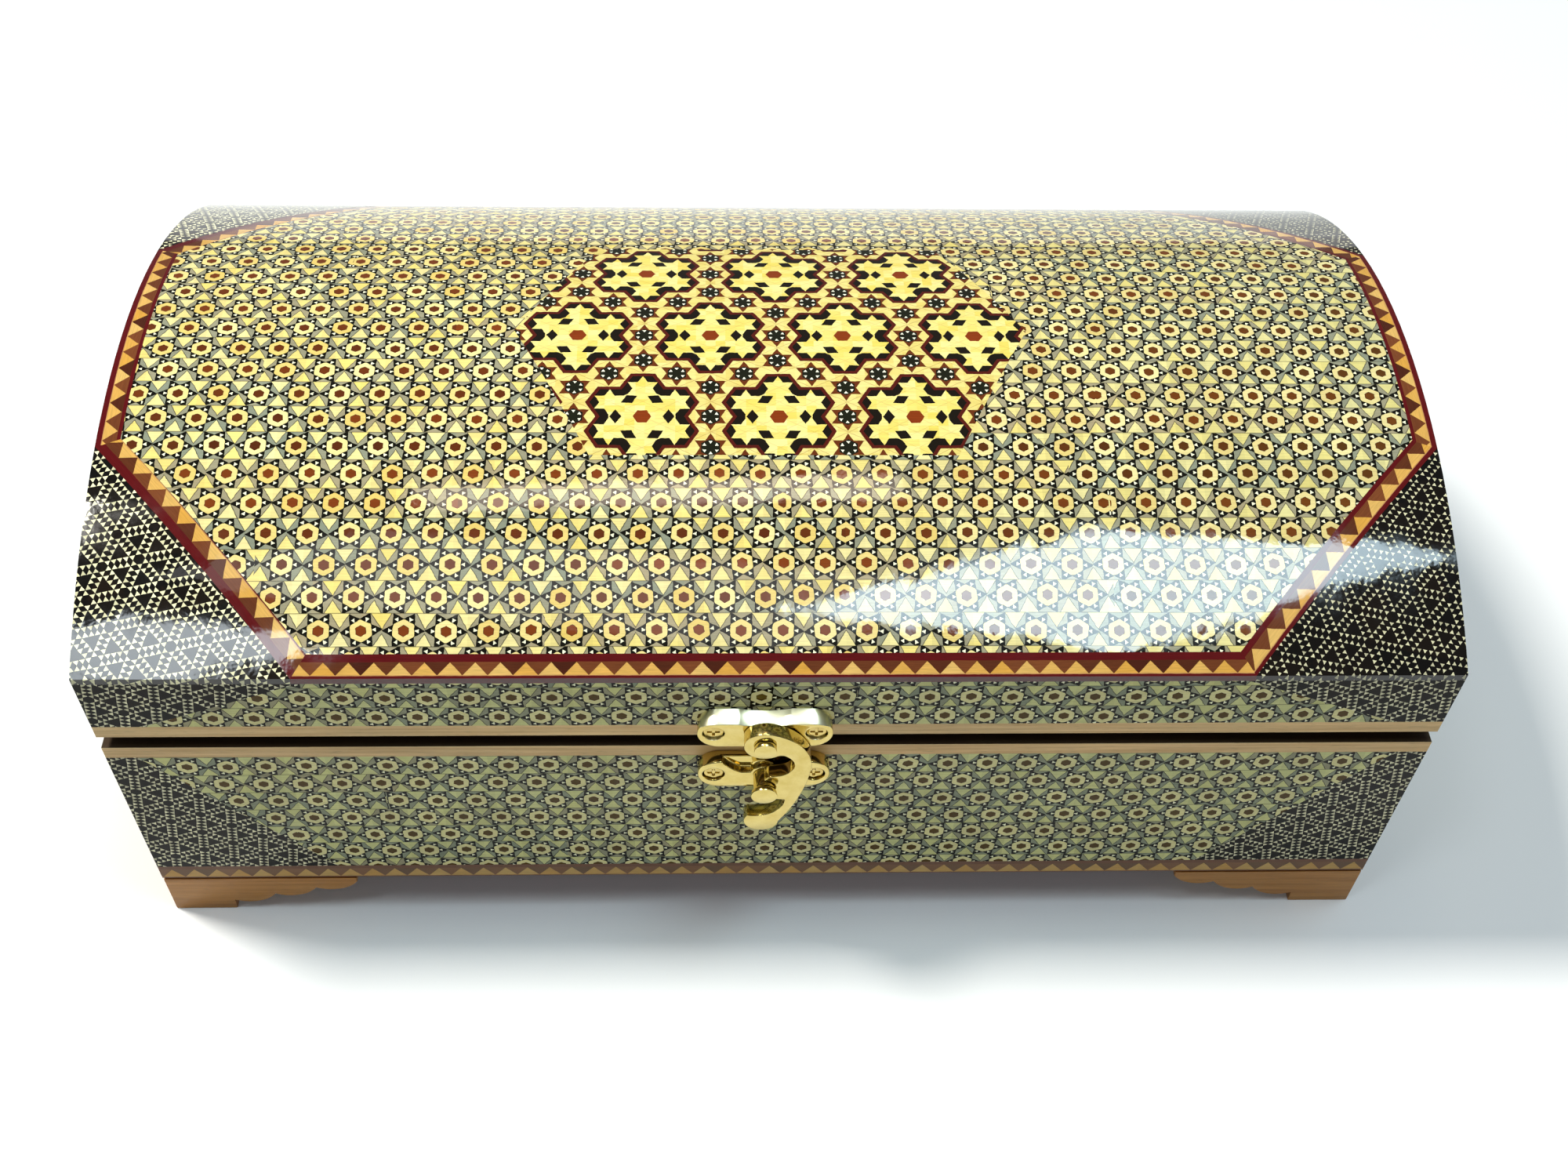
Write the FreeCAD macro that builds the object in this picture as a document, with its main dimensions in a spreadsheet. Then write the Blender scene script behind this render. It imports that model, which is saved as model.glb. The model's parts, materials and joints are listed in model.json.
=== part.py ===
import FreeCAD, Part
import os
import Sketcher

# An inlaid jewellery box: a chest that flares upwards on four bracket feet, with a domed lid that
# turns on two stop hinges at the back and is held shut in front by a swinging hook on a post.
# Millimetres. The origin is on the ground under the middle of the chest, +Z is up, the front faces -Y.

sizes = {
    # The chest from outside. The lid is measured at the edge where its dome starts.
    "lid_length": "275",
    "lid_depth": "157.8",
    "box_height": "112.8",
    "front_flare": "0.1005",
    "end_flare": "0.0212",
    "foot_height": "13.8",
    "border_height": "4.8",
    "rim_height": "3.6",
    "seam_gap": "3.8",
    "skirt_height": "16.2",
    "dome_rise": "23.5",
    # Boards, veneers and linings.
    "veneer_thickness": "1.5",
    "wall_thickness": "6",
    "dome_thickness": "4",
    "bottom_thickness": "4",
    "felt_thickness": "0.8",
    "felt_margin": "0.4",
    "lining_thickness": "2",
    "closing_gap": "0.2",
    "cushion_height": "3",
    "cushion_margin": "0.5",
    # The octagon of border strips on the dome and the medallion in its middle.
    "corner_length": "42.5",
    "corner_depth": "45.7",
    "strip_front": "4.1",
    "strip_width": "4.9",
    "medallion_length": "110.4",
    "medallion_flat": "76",
    "medallion_depth": "70.2",
    "plan_allowance": "5",
    # Bracket feet.
    "foot_length": "43",
    "foot_flat": "14.2",
    "foot_step": "3.6",
    "foot_thickness": "6",
    "lobe_rise": "2.6",
    "lobe_sag": "2",
    # Clasp plates.
    "clasp_shift": "-2.2",
    "plate_length": "27.4",
    "plate_height": "9",
    "plate_thickness": "3.2",
    "waist_half": "5.5",
    "waist_dip": "1.7",
    "scoop_start": "8.6",
    "scoop_end": "4.6",
    "scoop_dip": "3.8",
    "scoop_floor": "1.5",
    # Hook, its rivet and the post that it catches.
    "pivot_rise": "4.9",
    "post_drop": "6.2",
    "hook_thickness": "3",
    "hook_gap": "0.2",
    "eye_radius": "4.3",
    "hook_reach": "9.5",
    "hook_tail": "31.6",
    "tail_width": "5.8",
    "jaw_height": "1.7",
    "rivet_radius": "1.5",
    "rivet_tail": "1.6",
    "rivet_head_radius": "2.3",
    "rivet_head_height": "1.2",
    "post_neck_radius": "2.2",
    "post_tail_radius": "1.9",
    "post_tail": "2.6",
    "post_head_radius": "2.7",
    "post_head_height": "0.9",
    "post_flare": "1.1",
    "notch_clearance": "0.3",
    "running_clearance": "0.05",
    "press_clearance": "0.02",
    # Clasp screws.
    "clasp_screw_spacing": "20.8",
    "clasp_screw_head_radius": "2",
    "clasp_screw_head_height": "1.3",
    "clasp_screw_head_clearance": "0.25",
    "clasp_screw_sink": "0.5",
    "clasp_screw_radius": "1.1",
    "clasp_screw_depth": "5.5",
    "cross_half": "1.3",
    "cross_width": "0.6",
    "cross_depth": "0.5",
    "pilot_clearance": "0.03",
    # Stop hinges.
    "hinge_inset": "52.5",
    "hinge_length": "26",
    "leaf_thickness": "1.2",
    "leaf_reach": "9.4",
    "leaf_relief": "0.3",
    "barrel_radius": "2.2",
    "barrel_stand": "0.4",
    "knuckle_length": "9",
    "knuckle_gap": "0.3",
    "pin_radius": "1",
    "stop_angle": "63",
    "stop_radius": "4.6",
    "stop_thickness": "1",
    "stop_length": "17",
    "hinge_screw_spacing": "17",
    "hinge_screw_head_radius": "1.8",
    "hinge_screw_radius": "0.9",
    "hinge_screw_length": "9",
}

os.makedirs("parts", exist_ok=True)
vector = FreeCAD.Vector
doc = FreeCAD.newDocument("jewellery_box")
sheet = doc.addObject("Spreadsheet::Sheet", "box")
for row, (alias, value) in enumerate(sizes.items(), start=1):
    sheet.set(f"A{row}", alias)
    sheet.set(f"B{row}", value)
    sheet.setAlias(f"B{row}", alias)
doc.recompute()

# Levels above the ground, from the feet up and from the crown down. The side panels take what is left.
border_low = "box.foot_height"
panel_low = f"({border_low} + box.border_height)"
dome_top = "box.box_height"
dome_edge = f"({dome_top} - box.dome_rise)"
skirt_low = f"({dome_edge} - box.skirt_height)"
lid_low = f"({skirt_low} - box.rim_height)"
rim_top = f"({lid_low} - box.seam_gap)"
rim_low = f"({rim_top} - box.rim_height)"
above_dome = f"({dome_top} + box.plan_allowance)"
floor_level = f"({border_low} + box.bottom_thickness)"
felt_low = f"({border_low} - box.felt_thickness)"
lining_stand = "((box.seam_gap - box.closing_gap) / 2)"

# The dome is part of a cylinder that lies along X.
dome_radius = "(((box.lid_depth / 2)^2 + box.dome_rise^2) / (2 * box.dome_rise))"
dome_axis = f"({dome_top} - {dome_radius})"

shell_thickness = "(box.veneer_thickness + box.wall_thickness)"
upright = FreeCAD.Placement(vector(), FreeCAD.Rotation(vector(1, 0, 0), 90))
along_x = FreeCAD.Placement(vector(), FreeCAD.Rotation(vector(0, 1, 0), 90))
sides = ("front", "back", "left", "right")
pieces = []


def piece(thing, label):
    thing.Label = label
    pieces.append(thing)
    return thing


def bind(thing, formulas):
    for name, formula in formulas.items():
        thing.setExpression(name, formula)


def half_length(level, inset="0"):
    return f"(box.lid_length / 2 - box.end_flare * ({dome_edge} - {level}) - {inset})"


def half_depth(level, inset="0"):
    return f"(box.lid_depth / 2 - box.front_flare * ({dome_edge} - {level}) - {inset})"


def cut(name, base, tool):
    feature = doc.addObject("Part::Cut", name)
    feature.Base = base
    feature.Tool = tool
    return feature


def common(name, base, tool):
    feature = doc.addObject("Part::Common", name)
    feature.Base = base
    feature.Tool = tool
    return feature


def fuse(name, shapes):
    feature = doc.addObject("Part::MultiFuse", name)
    feature.Shapes = shapes
    return feature


def group(name, members):
    feature = doc.addObject("Part::Compound", name)
    feature.Links = members
    return feature


# Boards that follow the flare: a rectangle at the low level joined to one at the high level.
def board(name, low, high, spans):
    wedge = doc.addObject("Part::Wedge", name)
    wedge.Placement = upright
    left, right, front, back = spans(low)
    bind(wedge, {"Xmin": left, "Xmax": right, "Zmin": f"-{back}", "Zmax": f"-{front}"})
    left, right, front, back = spans(high)
    bind(wedge, {"X2min": left, "X2max": right, "Z2min": f"-{back}", "Z2max": f"-{front}"})
    bind(wedge, {"Ymin": low, "Ymax": high})
    return wedge


def block(name, low, high, inset):
    def spans(level):
        long, wide = half_length(level, inset), half_depth(level, inset)
        return f"(-{long})", long, f"(-{wide})", wide

    return board(name, low, high, spans)


# One board of a ring of four. Front and back run the whole length, left and right stand between them.
def wall(name, side, low, high, inset, thickness):
    deep = f"({inset} + {thickness})"

    def spans(level):
        long, wide = half_length(level, inset), half_depth(level, inset)
        inner_long, inner_wide = half_length(level, deep), half_depth(level, deep)
        return {
            "front": (f"(-{long})", long, f"(-{wide})", f"(-{inner_wide})"),
            "back": (f"(-{long})", long, inner_wide, wide),
            "left": (f"(-{long})", f"(-{inner_long})", f"(-{inner_wide})", inner_wide),
            "right": (inner_long, long, f"(-{inner_wide})", inner_wide),
        }[side]

    return board(name, low, high, spans)


def ring(name, low, high, inset, thickness):
    return {side: wall(f"{name}_{side}_blank", side, low, high, inset, thickness) for side in sides}


# Sketches. A path is a list of corners (x, y); a third item marks a point that an arc passes through.
def new_body(name):
    return doc.addObject("PartDesign::Body", name)


def sketch_on(body, role, name, offset="0"):
    sketch = body.newObject("Sketcher::SketchObject", name)
    plane = next(feature for feature in body.Origin.OriginFeatures if feature.Role == role)
    sketch.AttachmentSupport = [(plane, "")]
    sketch.MapMode = "FlatFace"
    sketch.setExpression("AttachmentOffset.Base.z", offset)
    return sketch


def place_point(sketch, x, y):
    point = sketch.addGeometry(Part.Point(vector(1, 1, 0)), True)
    for kind, formula in (("DistanceX", x), ("DistanceY", y)):
        index = sketch.addConstraint(Sketcher.Constraint(kind, -1, 1, point, 1, 1.0))
        sketch.renameConstraint(index, f"{kind}{point}")
        sketch.setExpression(f"Constraints.{kind}{point}", formula)
    return point


def draw(sketch, path):
    points = [place_point(sketch, step[0], step[1]) for step in path]
    doc.recompute()
    spots = [sketch.getPoint(point, 1) for point in points]
    corners = [index for index, step in enumerate(path) if len(step) == 2]
    for start, end in zip(corners, corners[1:] + corners[:1]):
        middle = (start + 1) % len(path)
        curved = middle != end
        if curved:
            edge = sketch.addGeometry(Part.ArcOfCircle(spots[start], spots[middle], spots[end]), False)
        else:
            edge = sketch.addGeometry(Part.LineSegment(spots[start], spots[end]), False)
        forwards = sketch.getPoint(edge, 1).distanceToPoint(spots[start]) < 0.001
        ends = (start, end) if forwards else (end, start)
        for position, corner in zip((1, 2), ends):
            sketch.addConstraint(Sketcher.Constraint("Coincident", edge, position, points[corner], 1))
        if curved:
            sketch.addConstraint(Sketcher.Constraint("PointOnObject", points[middle], 1, edge))
    doc.recompute()
    return sketch


def circle(sketch, x, y, radius):
    centre = place_point(sketch, x, y)
    doc.recompute()
    spot = sketch.getPoint(centre, 1)
    edge = sketch.addGeometry(Part.Circle(spot, vector(0, 0, 1), 1.0), False)
    sketch.addConstraint(Sketcher.Constraint("Coincident", edge, 3, centre, 1))
    index = sketch.addConstraint(Sketcher.Constraint("Radius", edge, 1.0))
    sketch.renameConstraint(index, f"Radius{edge}")
    sketch.setExpression(f"Constraints.Radius{edge}", radius)
    doc.recompute()


def pad(body, sketch, name, length, both_ways=False):
    feature = body.newObject("PartDesign::Pad", name)
    feature.Profile = sketch
    feature.setExpression("Length", length)
    if both_ways:
        feature.SideType = "Symmetric"
    doc.recompute()
    return feature


def pocket(body, sketch, name, depth):
    feature = body.newObject("PartDesign::Pocket", name)
    feature.Profile = sketch
    feature.setExpression("Length", depth)
    before = body.Shape.Volume
    doc.recompute()
    if not feature.Shape.Volume < before - 0.001:
        raise RuntimeError(f"{name} removes nothing")
    return feature


def turned(name, profile):
    body = new_body(name)
    sketch = draw(sketch_on(body, "XZ_Plane", f"{name}_profile"), profile)
    feature = body.newObject("PartDesign::Revolution", f"{name}_turn")
    feature.Profile = sketch
    feature.ReferenceAxis = (sketch, ["V_Axis"])
    doc.recompute()
    return body


def box_between(name, x, y, z):
    solid = doc.addObject("Part::Box", name)
    for letter, length, (low, high) in zip("xyz", ("Length", "Width", "Height"), (x, y, z)):
        bind(solid, {length: f"{high} - {low}", f"Placement.Base.{letter}": low})
    return solid


def rod_along_x(name, radius, start, end, y="0", z="0"):
    rod = doc.addObject("Part::Cylinder", name)
    rod.Placement = along_x
    bind(rod, {"Radius": radius, "Height": f"{end} - {start}"})
    bind(rod, {"Placement.Base.x": start, "Placement.Base.y": y, "Placement.Base.z": z})
    return rod


def dome_rod(name, depth):
    reach = "(box.lid_length / 2 + box.lid_depth)"
    return rod_along_x(name, f"{dome_radius} - {depth}", f"(-{reach})", reach, "0", dome_axis)


def dome_shell(name, depth, thickness):
    outer = dome_rod(f"{name}_outer", depth)
    inner = dome_rod(f"{name}_inner", f"({depth} + {thickness})")
    return cut(name, outer, inner)


# Bracket feet: a flat toe, a step and three hanging lobes that climb to the chest.
# Along the wall, distances are measured from the outer corner at the top of the foot.
def foot_profile(name, role, corner, sign):
    def along(distance):
        return f"{sign} * ({corner} - ({distance}))"

    lobe = "(box.foot_length - box.foot_flat) / 3"
    path = [(along("-box.foot_thickness"), "0"), (along("box.foot_flat"), "0")]
    path.append((along("box.foot_flat"), "box.foot_step"))
    for number in range(3):
        middle = f"box.foot_flat + {number + 0.5} * {lobe}"
        sag = f"box.foot_step + {number + 0.5} * box.lobe_rise - box.lobe_sag"
        path.append((along(middle), sag, "through"))
        cusp = f"box.foot_step + {number + 1} * box.lobe_rise"
        path.append((along(f"box.foot_flat + {number + 1} * {lobe}"), cusp))
    path.append((along("box.foot_length"), felt_low))
    path.append((along("-box.foot_thickness"), felt_low))
    body = new_body(name)
    sketch = draw(sketch_on(body, role, f"{name}_outline"), path)
    pad(body, sketch, f"{name}_pad", "2 * box.lid_length", both_ways=True)
    return body


def make_feet():
    corner_x = half_length("box.foot_height")
    corner_y = half_depth("box.foot_height")
    blanks = ring("foot", "0", felt_low, "0", "box.foot_thickness")
    profiles = {
        "left": foot_profile("foot_profile_left", "XZ_Plane", corner_x, -1),
        "right": foot_profile("foot_profile_right", "XZ_Plane", corner_x, 1),
        "front": foot_profile("foot_profile_front", "YZ_Plane", corner_y, -1),
        "back": foot_profile("foot_profile_back", "YZ_Plane", corner_y, 1),
    }
    for face in ("front", "back"):
        for end in ("left", "right"):
            name = f"foot_{face}_{end}"
            piece(common(f"{name}_a", blanks[face], profiles[end]), f"{name}_long_board")
            piece(common(f"{name}_b", blanks[end], profiles[face]), f"{name}_end_board")


# Clasp parts lie on the sloping front: X runs along the box, Y up the wall and Z out of it.
def on_front(thing, level, x="box.clasp_shift"):
    thing.Placement = upright
    bind(thing, {"Placement.Base.x": x, "Placement.Base.y": f"-{half_depth(level)}"})
    bind(thing, {"Placement.Base.z": level, "Placement.Rotation.Angle": "90 deg + atan(box.front_flare)"})
    return thing


pivot_level = f"({lid_low} + box.pivot_rise)"
post_level = f"({rim_top} - box.post_drop)"
pivot_to_post = f"(({pivot_level} - {post_level}) * sqrt(1 + box.front_flare^2))"
hook_back = "(box.plate_thickness + box.hook_gap)"
hook_face = f"({hook_back} + box.hook_thickness)"
screw_head_top = "(box.plate_thickness - box.clasp_screw_sink)"
screw_seat = f"({screw_head_top} - box.clasp_screw_head_height)"


def cross_pocket(body, name, level):
    long, wide = "box.cross_half", "(box.cross_width / 2)"
    quarter = [(long, wide), (wide, wide), (wide, long)]
    path = [(x, y) for x, y in quarter]
    path += [(f"-{x}", y) for x, y in reversed(quarter)]
    path += [(f"-{x}", f"-{y}") for x, y in quarter]
    path += [(x, f"-{y}") for x, y in reversed(quarter)]
    sketch = draw(sketch_on(body, "XY_Plane", f"{name}_cross", level), path)
    pocket(body, sketch, f"{name}_cross_cut", "box.cross_depth")


def clasp_screw(name, level, x):
    head, shank = "box.clasp_screw_head_radius", "box.clasp_screw_radius"
    tip = "-box.clasp_screw_depth"
    profile = [("0", tip), (shank, f"{tip} + {shank}"), (shank, screw_seat), (head, screw_seat)]
    profile += [(head, screw_head_top), ("0", screw_head_top)]
    screw = turned(name, profile)
    cross_pocket(screw, name, screw_head_top)
    return on_front(screw, level, x)


def clasp_pilot(name, level, x):
    wide = "(box.clasp_screw_radius + box.pilot_clearance)"
    deep = "(-box.clasp_screw_depth - box.pilot_clearance)"
    top = "box.plate_thickness"
    hole = turned(name, [("0", deep), (wide, deep), (wide, top), ("0", top)])
    return on_front(hole, level, x)


screw_places = {
    "left": "(box.clasp_shift - box.clasp_screw_spacing / 2)",
    "right": "(box.clasp_shift + box.clasp_screw_spacing / 2)",
}


def plate_holes(body, name, centre_radius):
    for place, sign in (("left", "-"), ("right", "")):
        x = f"{sign}box.clasp_screw_spacing / 2"
        through = sketch_on(body, "XY_Plane", f"{name}_{place}_hole", "box.plate_thickness")
        circle(through, x, "0", "box.clasp_screw_radius + box.pilot_clearance")
        pocket(body, through, f"{name}_{place}_hole_cut", "box.plate_thickness")
        seat = sketch_on(body, "XY_Plane", f"{name}_{place}_seat", "box.plate_thickness")
        circle(seat, x, "0", "box.clasp_screw_head_radius + box.clasp_screw_head_clearance")
        pocket(body, seat, f"{name}_{place}_seat_cut", f"box.plate_thickness - {screw_seat}")
    middle = sketch_on(body, "XY_Plane", f"{name}_middle_hole", "box.plate_thickness")
    circle(middle, "0", "0", centre_radius)
    return middle


def make_top_plate():
    end, half = "(box.plate_length / 2)", "(box.plate_height / 2)"
    flat = f"({end} - {half})"
    path = [(flat, half), ("box.waist_half", half), ("0", f"{half} - box.waist_dip", "through")]
    path += [("-box.waist_half", half), (f"-{flat}", half), (f"-{end}", "0", "through")]
    path += [(f"-{flat}", f"-{half}"), (flat, f"-{half}"), (end, "0", "through")]
    body = new_body("top_plate")
    sketch = draw(sketch_on(body, "XY_Plane", "top_plate_outline"), path)
    pad(body, sketch, "top_plate_pad", "box.plate_thickness")
    bore = plate_holes(body, "top_plate", "box.rivet_radius + box.press_clearance")
    pocket(body, bore, "top_plate_rivet_hole", "box.rivet_tail")
    piece(on_front(body, pivot_level), "clasp_top_plate")


def make_keeper_plate():
    end, half = "(box.plate_length / 2)", "(box.plate_height / 2)"
    flat, low = f"({end} - {half})", f"({half} - box.scoop_dip)"
    bend_x = "((box.scoop_start + box.scoop_end) / 2 - 0.2 * box.scoop_dip)"
    bend_y = f"({half} - 0.8 * box.scoop_dip)"
    below = [(f"-{flat}", half), (f"-{end}", "0", "through"), (f"-{flat}", f"-{half}")]
    below += [(flat, f"-{half}"), (end, "0", "through")]
    path = [(flat, half), ("box.scoop_start", half), (bend_x, bend_y, "through"), ("box.scoop_end", low)]
    path += [("-box.scoop_end", low), (f"-{bend_x}", bend_y, "through"), ("-box.scoop_start", half)]
    body = new_body("keeper_plate")
    sketch = draw(sketch_on(body, "XY_Plane", "keeper_plate_outline"), path + below)
    pad(body, sketch, "keeper_plate_pad", "box.plate_thickness")
    floor = draw(sketch_on(body, "XY_Plane", "keeper_plate_floor"), [(flat, half)] + below)
    pad(body, floor, "keeper_plate_floor_pad", "box.scoop_floor")
    boss = sketch_on(body, "XY_Plane", "keeper_plate_boss")
    circle(boss, "0", "0", "box.post_head_radius")
    pad(body, boss, "keeper_plate_boss_pad", "box.plate_thickness")
    bore = plate_holes(body, "keeper_plate", "box.post_tail_radius + box.press_clearance")
    pocket(body, bore, "keeper_plate_post_hole", "box.post_tail")
    piece(on_front(body, post_level), "clasp_keeper_plate")


def make_post():
    head_low = f"({hook_face} + box.hook_gap + box.post_flare)"
    head_top = f"({head_low} + box.post_head_height)"
    neck, head = "box.post_neck_radius", "box.post_head_radius"
    tail, tail_low = "box.post_tail_radius", "(box.plate_thickness - box.post_tail)"
    flare_low = f"({hook_face} + box.hook_gap)"
    curve_r, curve_z = f"({neck} + 0.3 * ({head} - {neck}))", f"({flare_low} + 0.7 * box.post_flare)"
    profile = [("0", tail_low), (tail, tail_low), (tail, "box.plate_thickness")]
    profile += [(neck, "box.plate_thickness"), (neck, flare_low), (curve_r, curve_z, "through")]
    profile += [(head, head_low), (head, head_top), ("0", head_top)]
    piece(on_front(turned("keeper_post", profile), post_level), "clasp_keeper_post")


def make_rivet():
    head_low = f"({hook_face} + box.running_clearance)"
    head_top = f"({head_low} + box.rivet_head_height)"
    foot = "(box.plate_thickness - box.rivet_tail)"
    shank, head = "box.rivet_radius", "box.rivet_head_radius"
    profile = [("0", foot), (shank, foot), (shank, head_low), (head, head_low), (head, head_top)]
    profile.append(("0", head_top))
    piece(on_front(turned("rivet", profile), pivot_level), "clasp_rivet")


# The hook hangs from its eye at the origin, sweeps out to the right and curls back under the post.
# Its notch opens to the left, between two jaws, so that it swings off the post to the right.
def hook_path():
    eye, reach, tail = "box.eye_radius", "box.hook_reach", "box.hook_tail"
    notch = "(box.post_neck_radius + box.notch_clearance)"
    jaw_top, jaw_low = f"(-{pivot_to_post} + {notch})", f"(-{pivot_to_post} - {notch})"
    jaw_foot = f"({jaw_low} - box.jaw_height)"
    inside = f"(-{tail} + box.tail_width)"
    lip = f"({jaw_top} + 0.5 * {notch})"
    path = [(f"0.64 * {eye}", f"-0.7684 * {eye}"), (f"-{eye}", "0", "through")]
    path += [(f"0.36 * {eye}", f"0.9330 * {eye}"), (f"0.77 * {reach}", f"-0.05 * {eye}", "through")]
    path += [(reach, f"-0.26 * {tail}"), (f"0.84 * {reach}", f"-0.52 * {tail}", "through")]
    path += [(f"0.34 * {reach}", f"-0.89 * {tail}"), (f"-0.07 * {reach}", f"-{tail}", "through")]
    path += [(f"-0.42 * {reach}", f"{inside} - 0.25 * box.tail_width"), (f"-0.35 * {reach}", inside)]
    path += [(f"0.22 * {reach}", f"{inside} + 0.2 * box.tail_width", "through")]
    path += [(f"0.46 * {reach}", f"{jaw_foot} - 0.3 * box.jaw_height"), (f"0.05 * {reach}", jaw_foot)]
    path += [(f"-0.08 * {reach}", f"{jaw_low} - 0.45 * box.jaw_height", "through"), ("0", jaw_low)]
    path += [(notch, f"-{pivot_to_post}", "through"), ("0", jaw_top)]
    path += [(f"0.1 * {reach}", lip), (f"0.34 * {reach}", f"{lip} + 0.2 * {notch}")]
    path += [(f"0.64 * {reach}", f"-1.6 * {eye}", "through"), (f"0.46 * {reach}", f"-0.86 * {eye}")]
    path += [(f"0.37 * {reach}", f"-0.75 * {eye}", "through")]
    return path


def make_hook():
    body = new_body("hook")
    sketch = draw(sketch_on(body, "XY_Plane", "hook_outline", hook_back), hook_path())
    pad(body, sketch, "hook_pad", "box.hook_thickness")
    bore = sketch_on(body, "XY_Plane", "hook_bore", hook_face)
    circle(bore, "0", "0", "box.rivet_radius + box.running_clearance")
    pocket(body, bore, "hook_bore_cut", "box.hook_thickness")
    piece(on_front(body, pivot_level), "clasp_hook")


def make_clasp():
    make_top_plate()
    make_keeper_plate()
    make_post()
    make_rivet()
    make_hook()
    pilots = {}
    for row, level, label in (("top", pivot_level, "lid"), ("keeper", post_level, "keeper")):
        screws = [clasp_screw(f"{row}_screw_{place}", level, x) for place, x in screw_places.items()]
        piece(group(f"{row}_screws", screws), f"clasp_{label}_screws")
        holes = [clasp_pilot(f"{row}_pilot_{place}", level, x) for place, x in screw_places.items()]
        pilots[label] = group(f"{row}_pilots", holes)
    return pilots


# Stop hinges. The pin lies behind the seam; leaf screws go down into the chest and up into the lid.
pin_level = f"({rim_top} + box.seam_gap / 2)"
pin_place = f"({half_depth(pin_level)} + box.barrel_radius + box.barrel_stand)"
screw_line = f"({half_depth(rim_top)} - {shell_thickness} + box.wall_thickness / 2)"
knuckle_half = "(box.knuckle_length / 2)"
outer_knuckles = (
    ("(-box.hinge_length / 2)", f"(-{knuckle_half} - box.knuckle_gap)"),
    (f"({knuckle_half} + box.knuckle_gap)", "(box.hinge_length / 2)"),
)
middle_knuckle = ((f"(-{knuckle_half})", knuckle_half),)


def hinge_screw(name, x, level, upwards):
    head, shank = "box.hinge_screw_head_radius", "box.hinge_screw_radius"
    tip = "-box.hinge_screw_length"
    profile = [("0", tip), (shank, f"{tip} + {shank}"), (shank, "-box.leaf_thickness"), (head, "0"), ("0", "0")]
    screw = turned(name, profile)
    cross_pocket(screw, name, "0")
    return at_screw(screw, x, level, upwards)


def hinge_pilot(name, x, level, upwards):
    wide = "(box.hinge_screw_radius + box.pilot_clearance)"
    deep = "(-box.hinge_screw_length - box.pilot_clearance)"
    hole = turned(name, [("0", deep), (wide, deep), (wide, "-box.leaf_thickness"), ("0", "-box.leaf_thickness")])
    return at_screw(hole, x, level, upwards)


def hinge_sink(name, x, level, upwards):
    wide = "(box.hinge_screw_radius + box.pilot_clearance)"
    head = "(box.hinge_screw_head_radius + box.pilot_clearance)"
    foot = "-box.leaf_thickness"
    hole = turned(name, [("0", foot), (wide, foot), (head, "0"), ("0", "0")])
    return at_screw(hole, x, level, upwards)


def at_screw(thing, x, level, upwards):
    thing.Placement = FreeCAD.Placement(vector(), FreeCAD.Rotation(vector(1, 0, 0), 180 if upwards else 0))
    bind(thing, {"Placement.Base.x": x, "Placement.Base.y": screw_line, "Placement.Base.z": level})
    return thing


# The lug that ends the lid's travel: a bar outside the barrel, which meets the other leaf's bars.
def stop_bar(name, centre, sign, start, end, root):
    cosine, sine = "cos(box.stop_angle * 1 deg)", f"{sign} * sin(box.stop_angle * 1 deg)"
    half = "(box.stop_thickness / 2)"

    def corner(radius, offset):
        y = f"{pin_place} + {radius} * {cosine} - {offset} * {sine}"
        z = f"{pin_level} + {radius} * {sine} + {offset} * {cosine}"
        return y, z

    path = [corner(root, half), corner("box.stop_radius", half)]
    path += [corner("box.stop_radius", f"(-{half})"), corner(root, f"(-{half})")]
    body = new_body(name)
    sketch = draw(sketch_on(body, "YZ_Plane", f"{name}_outline", f"{centre} + {start}"), path)
    pad(body, sketch, f"{name}_pad", f"{end} - {start}")
    return body


def leaf(name, centre, part, level):
    low, high = level
    end = f"({pin_place} - box.barrel_radius - box.leaf_relief)"
    whole = (f"({centre} - box.hinge_length / 2)", f"({centre} + box.hinge_length / 2)")
    shapes = [box_between(f"{name}_plate", whole, (f"({pin_place} - box.leaf_reach)", end), level)]
    knuckles = outer_knuckles if part == "base" else middle_knuckle
    sign = -1 if part == "base" else 1
    for number, (start, stop) in enumerate(knuckles):
        span = (f"({centre} + {start})", f"({centre} + {stop})")
        shapes.append(box_between(f"{name}_tab{number}", span, (end, pin_place), level))
        shapes.append(rod_along_x(f"{name}_knuckle{number}", "box.barrel_radius", *span, pin_place, pin_level))
        root = "(box.barrel_radius - box.stop_thickness / 2)"
        shapes.append(stop_bar(f"{name}_web{number}", centre, sign, start, stop, root))
    if part == "lid":
        reach = "(box.stop_length / 2)"
        root = "(box.barrel_radius + box.leaf_relief)"
        shapes.append(stop_bar(f"{name}_bar", centre, sign, f"(-{reach})", reach, root))
    clearance = "box.press_clearance" if part == "base" else "box.running_clearance"
    bore = rod_along_x(f"{name}_bore", f"box.pin_radius + {clearance}", *whole, pin_place, pin_level)
    return cut(f"{name}_bored", fuse(f"{name}_solid", shapes), bore)


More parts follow.
